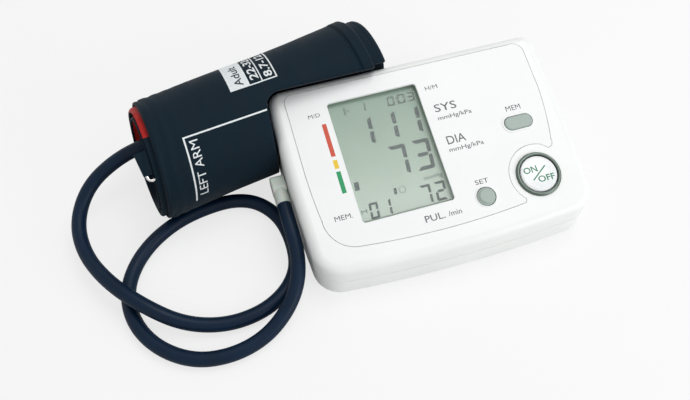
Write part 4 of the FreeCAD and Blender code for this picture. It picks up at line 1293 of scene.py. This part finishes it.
class PrintCuff(MonitorOperator, bpy.types.Operator):
    """The white frame, the size label and the lettering on the cuff"""

    bl_idname = "monitor.print_cuff"
    bl_label = "Cuff print"

    FRAME = ((34.2, -51.5), (34.2, -17.3), (76.8, -17.3))
    LABEL_A = (62.5, 72.5, 78.9, 86.2)   # the label's left edge, its two inner lines and its right edge
    LABEL_B = (-3.0, 33.0)
    FRAME_LINE = 0.8
    LABEL_LINES = (0.7, 0.6)             # widths of its outline and its inner line
    LABEL_INSETS = (0.3, 0.6)            # and how far in from its ends they lie
    # text, left edge, foot, width, height, weight, turn
    ARM = ("LEFT ARM", 40.2, -48.1, 28.6, 4.1, 0.0, 90)
    SIZES = (("22-32cm", 77.9, -0.3, 29.5, 4.2, 0.02, 90), ("8.7-12.6in", 84.9, -1.2, 32.5, 4.2, 0.02, 90))
    WEARER = ("Adult", 69.9, -1.3, 16.0, 4.1, 0.01, 90)
    PRINT = {"step": 1.2, "thick": 0.05, "body": "cuff_set", "slot": "cloth_navy"}

    def execute(self, context):
        settings = context.scene.monitor_cuff
        white = ink("print_white", settings.print[:], 0.6)
        left, first, second, right = self.LABEL_A
        low, high = self.LABEL_B
        outline, inner = self.LABEL_LINES
        inset, inner_inset = self.LABEL_INSETS
        foot, top = low + inset, high - inset
        shapes = [
            stroke(self.FRAME, self.FRAME_LINE),
            words(*self.ARM),
            plate([(left, low), (first, low), (first, high), (left, high)]),
            stroke([(first, foot), (right, foot), (right, top), (first, top)], outline),
            stroke([(second, low + inner_inset), (second, high - inner_inset)], inner),
        ]
        shapes += [words(*size) for size in self.SIZES]
        printed("cuff_print", shapes, on_cloth, white, **self.PRINT)
        dark = ink("print_dark", shade(settings.cloth[:], 2.0), 0.6)
        printed("cuff_size_word", [words(*self.WEARER)], self.on_label, dark, **self.PRINT)
        return {"FINISHED"}

    def on_label(self, a, b, h):
        """A point on the label's white, over the cloth."""
        return on_cloth(a, b, h + 0.07)


class MakeCuffRing(MonitorOperator, bpy.types.Operator):
    """The bright wire ring at the cuff's left end, and the cloth loop that holds it"""

    bl_idname = "monitor.make_cuff_ring"
    bl_label = "Cuff ring"

    TAB_S = (9.2, 21.0)          # the loop's ends along the roll
    TAB_DEPTHS = (4.32, 6.26)    # its two layers, either side of the wire
    TAB_THICK = 0.2
    TAB_TURNS = (-51, -25)

    def execute(self, context):
        settings = context.scene.monitor_cuff
        dress("cuff_ring", metal("ring_chrome", tint(214, 216, 214), 0.16))
        left, right = self.TAB_S
        outer, inner = self.TAB_DEPTHS
        bow, middle = (inner - outer) / 2, (inner + outer) / 2
        reach, steps = right - left - bow, 9
        path = [(right - reach * i / steps, outer) for i in range(steps)]
        for i in range(steps):
            bend = math.pi * i / (steps - 1)
            path.append((left + bow - bow * math.sin(bend), middle - bow * math.cos(bend)))
        path += [(left + bow + reach * i / steps, inner) for i in range(1, steps + 1)]
        turns = [math.radians(angle) for angle in range(self.TAB_TURNS[0], self.TAB_TURNS[1] + 1, 2)]
        tab = new_piece("cuff_ring_loop", strap("cuff_ring_loop", path, self.TAB_THICK, turns), "cuff_set",
                        "cloth_navy", woven("tab_navy", settings.cloth[:], settings.weave))
        return {"FINISHED"}


class DressInside(MonitorOperator, bpy.types.Operator):
    """Finishes of what lies inside the case, and the cells' springs"""

    bl_idname = "monitor.dress_inside"
    bl_label = "Inside"

    CELLS = 4
    CELL_PITCH = 14.6
    CELLS_MIDDLE = 16.7          # the middle of the row of cells, towards the rear
    CELL_AXIS = 10.7             # the cells' height
    SPRING_ENDS = (-2.5, 54.5)   # the springs sit at the cells' left and right ends in turn
    # metres and turns; a spring to the right of the middle is turned round
    SPRING = {"Wire": 0.0003, "Turns": 3.5, "Wide": 0.003, "Narrow": 0.0016, "Reach": 0.0062, "Middle": 0.02}

    def execute(self, context):
        natural = moulded("inner_natural", tint(216, 216, 210), 0.5)
        black = moulded("chip_black", tint(34, 35, 38), 0.5)
        nickel = metal("nickel", tint(206, 206, 200), 0.25)
        finishes = {
            natural: ("lcd_frame", "pressure_sensor", "pump_head", "exhaust_valve", "air_manifold",
                      "air_socket", "pump_crank"),
            black: ("board_chips", "key_switches", "buzzer"),
            nickel: ("battery_contacts",),
            soft_rubber("zebra_black", tint(36, 36, 40), 0.6): ("zebra_strips",),
            soft_rubber("tube_grey", tint(170, 172, 172), 0.4): ("inner_tubes",),
            laminate(): ("circuit_board",),
            metal("motor_steel", tint(190, 192, 194), 0.3, (0.2, 1, 1)): ("pump_motor",),
            metal("shaft_steel", tint(200, 202, 206), 0.2, (0.2, 1, 1)): ("motor_shaft",),
            cell_sleeve(): ("battery_cells",),
        }
        for material, nodes in finishes.items():
            for node in nodes:
                dress(node, material)
        self.springs(nickel)
        return {"FINISHED"}

    def springs(self, nickel):
        """One coil spring for each cell."""
        half = (self.CELLS - 1) / 2
        rows = [self.CELLS_MIDDLE + (i - half) * self.CELL_PITCH for i in range(self.CELLS)]
        points = [Vector((self.SPRING_ENDS[1 - i % 2], y, self.CELL_AXIS)) * MM for i, y in enumerate(rows)]
        mesh = grown("battery_coils", points, [], spring_tree(), {**self.SPRING, "Finish": nickel})
        coils = new_piece("battery_coils", mesh, "monitor", "contact_plate")
        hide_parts("battery_springs")


class MonitorPanel(bpy.types.Panel):
    """The operators in their order, and the settings that they read"""

    bl_idname = "VIEW3D_PT_monitor"
    bl_label = "Arm Monitor"
    bl_space_type = "VIEW_3D"
    bl_region_type = "UI"
    bl_category = "Monitor"

    def draw(self, context):
        layout = self.layout
        for operator in OPERATORS:
            layout.operator(operator.bl_idname)
        for name, group in SETTINGS.items():
            column = layout.column(heading=name.split("_")[1].title())
            for prop in group.__annotations__:
                column.prop(getattr(context.scene, name), prop)


SETTINGS = {
    "monitor_stage": StageSettings, "monitor_case": CaseSettings, "monitor_keys": KeySettings,
    "monitor_display": DisplaySettings, "monitor_hose": HoseSettings, "monitor_cuff": CuffSettings,
}
OPERATORS = (MakeStage, MakeHose, DressCase, DressKeys, PrintFace, MakeDisplay, MakeCuffCloth, PrintCuff,
             MakeCuffRing, DressInside)


def register():
    for group in (*SETTINGS.values(), *OPERATORS, MonitorPanel):
        bpy.utils.register_class(group)
    for name, group in SETTINGS.items():
        setattr(bpy.types.Scene, name, PointerProperty(type=group))


def unregister():
    for name in SETTINGS:
        delattr(bpy.types.Scene, name)
    for group in (MonitorPanel, *reversed(OPERATORS), *reversed(SETTINGS.values())):
        bpy.utils.unregister_class(group)


def main():
    register()
    for operator in OPERATORS:
        family, action = operator.bl_idname.split(".")
        getattr(getattr(bpy.ops, family), action)()


if __name__ == "__main__":
    main()
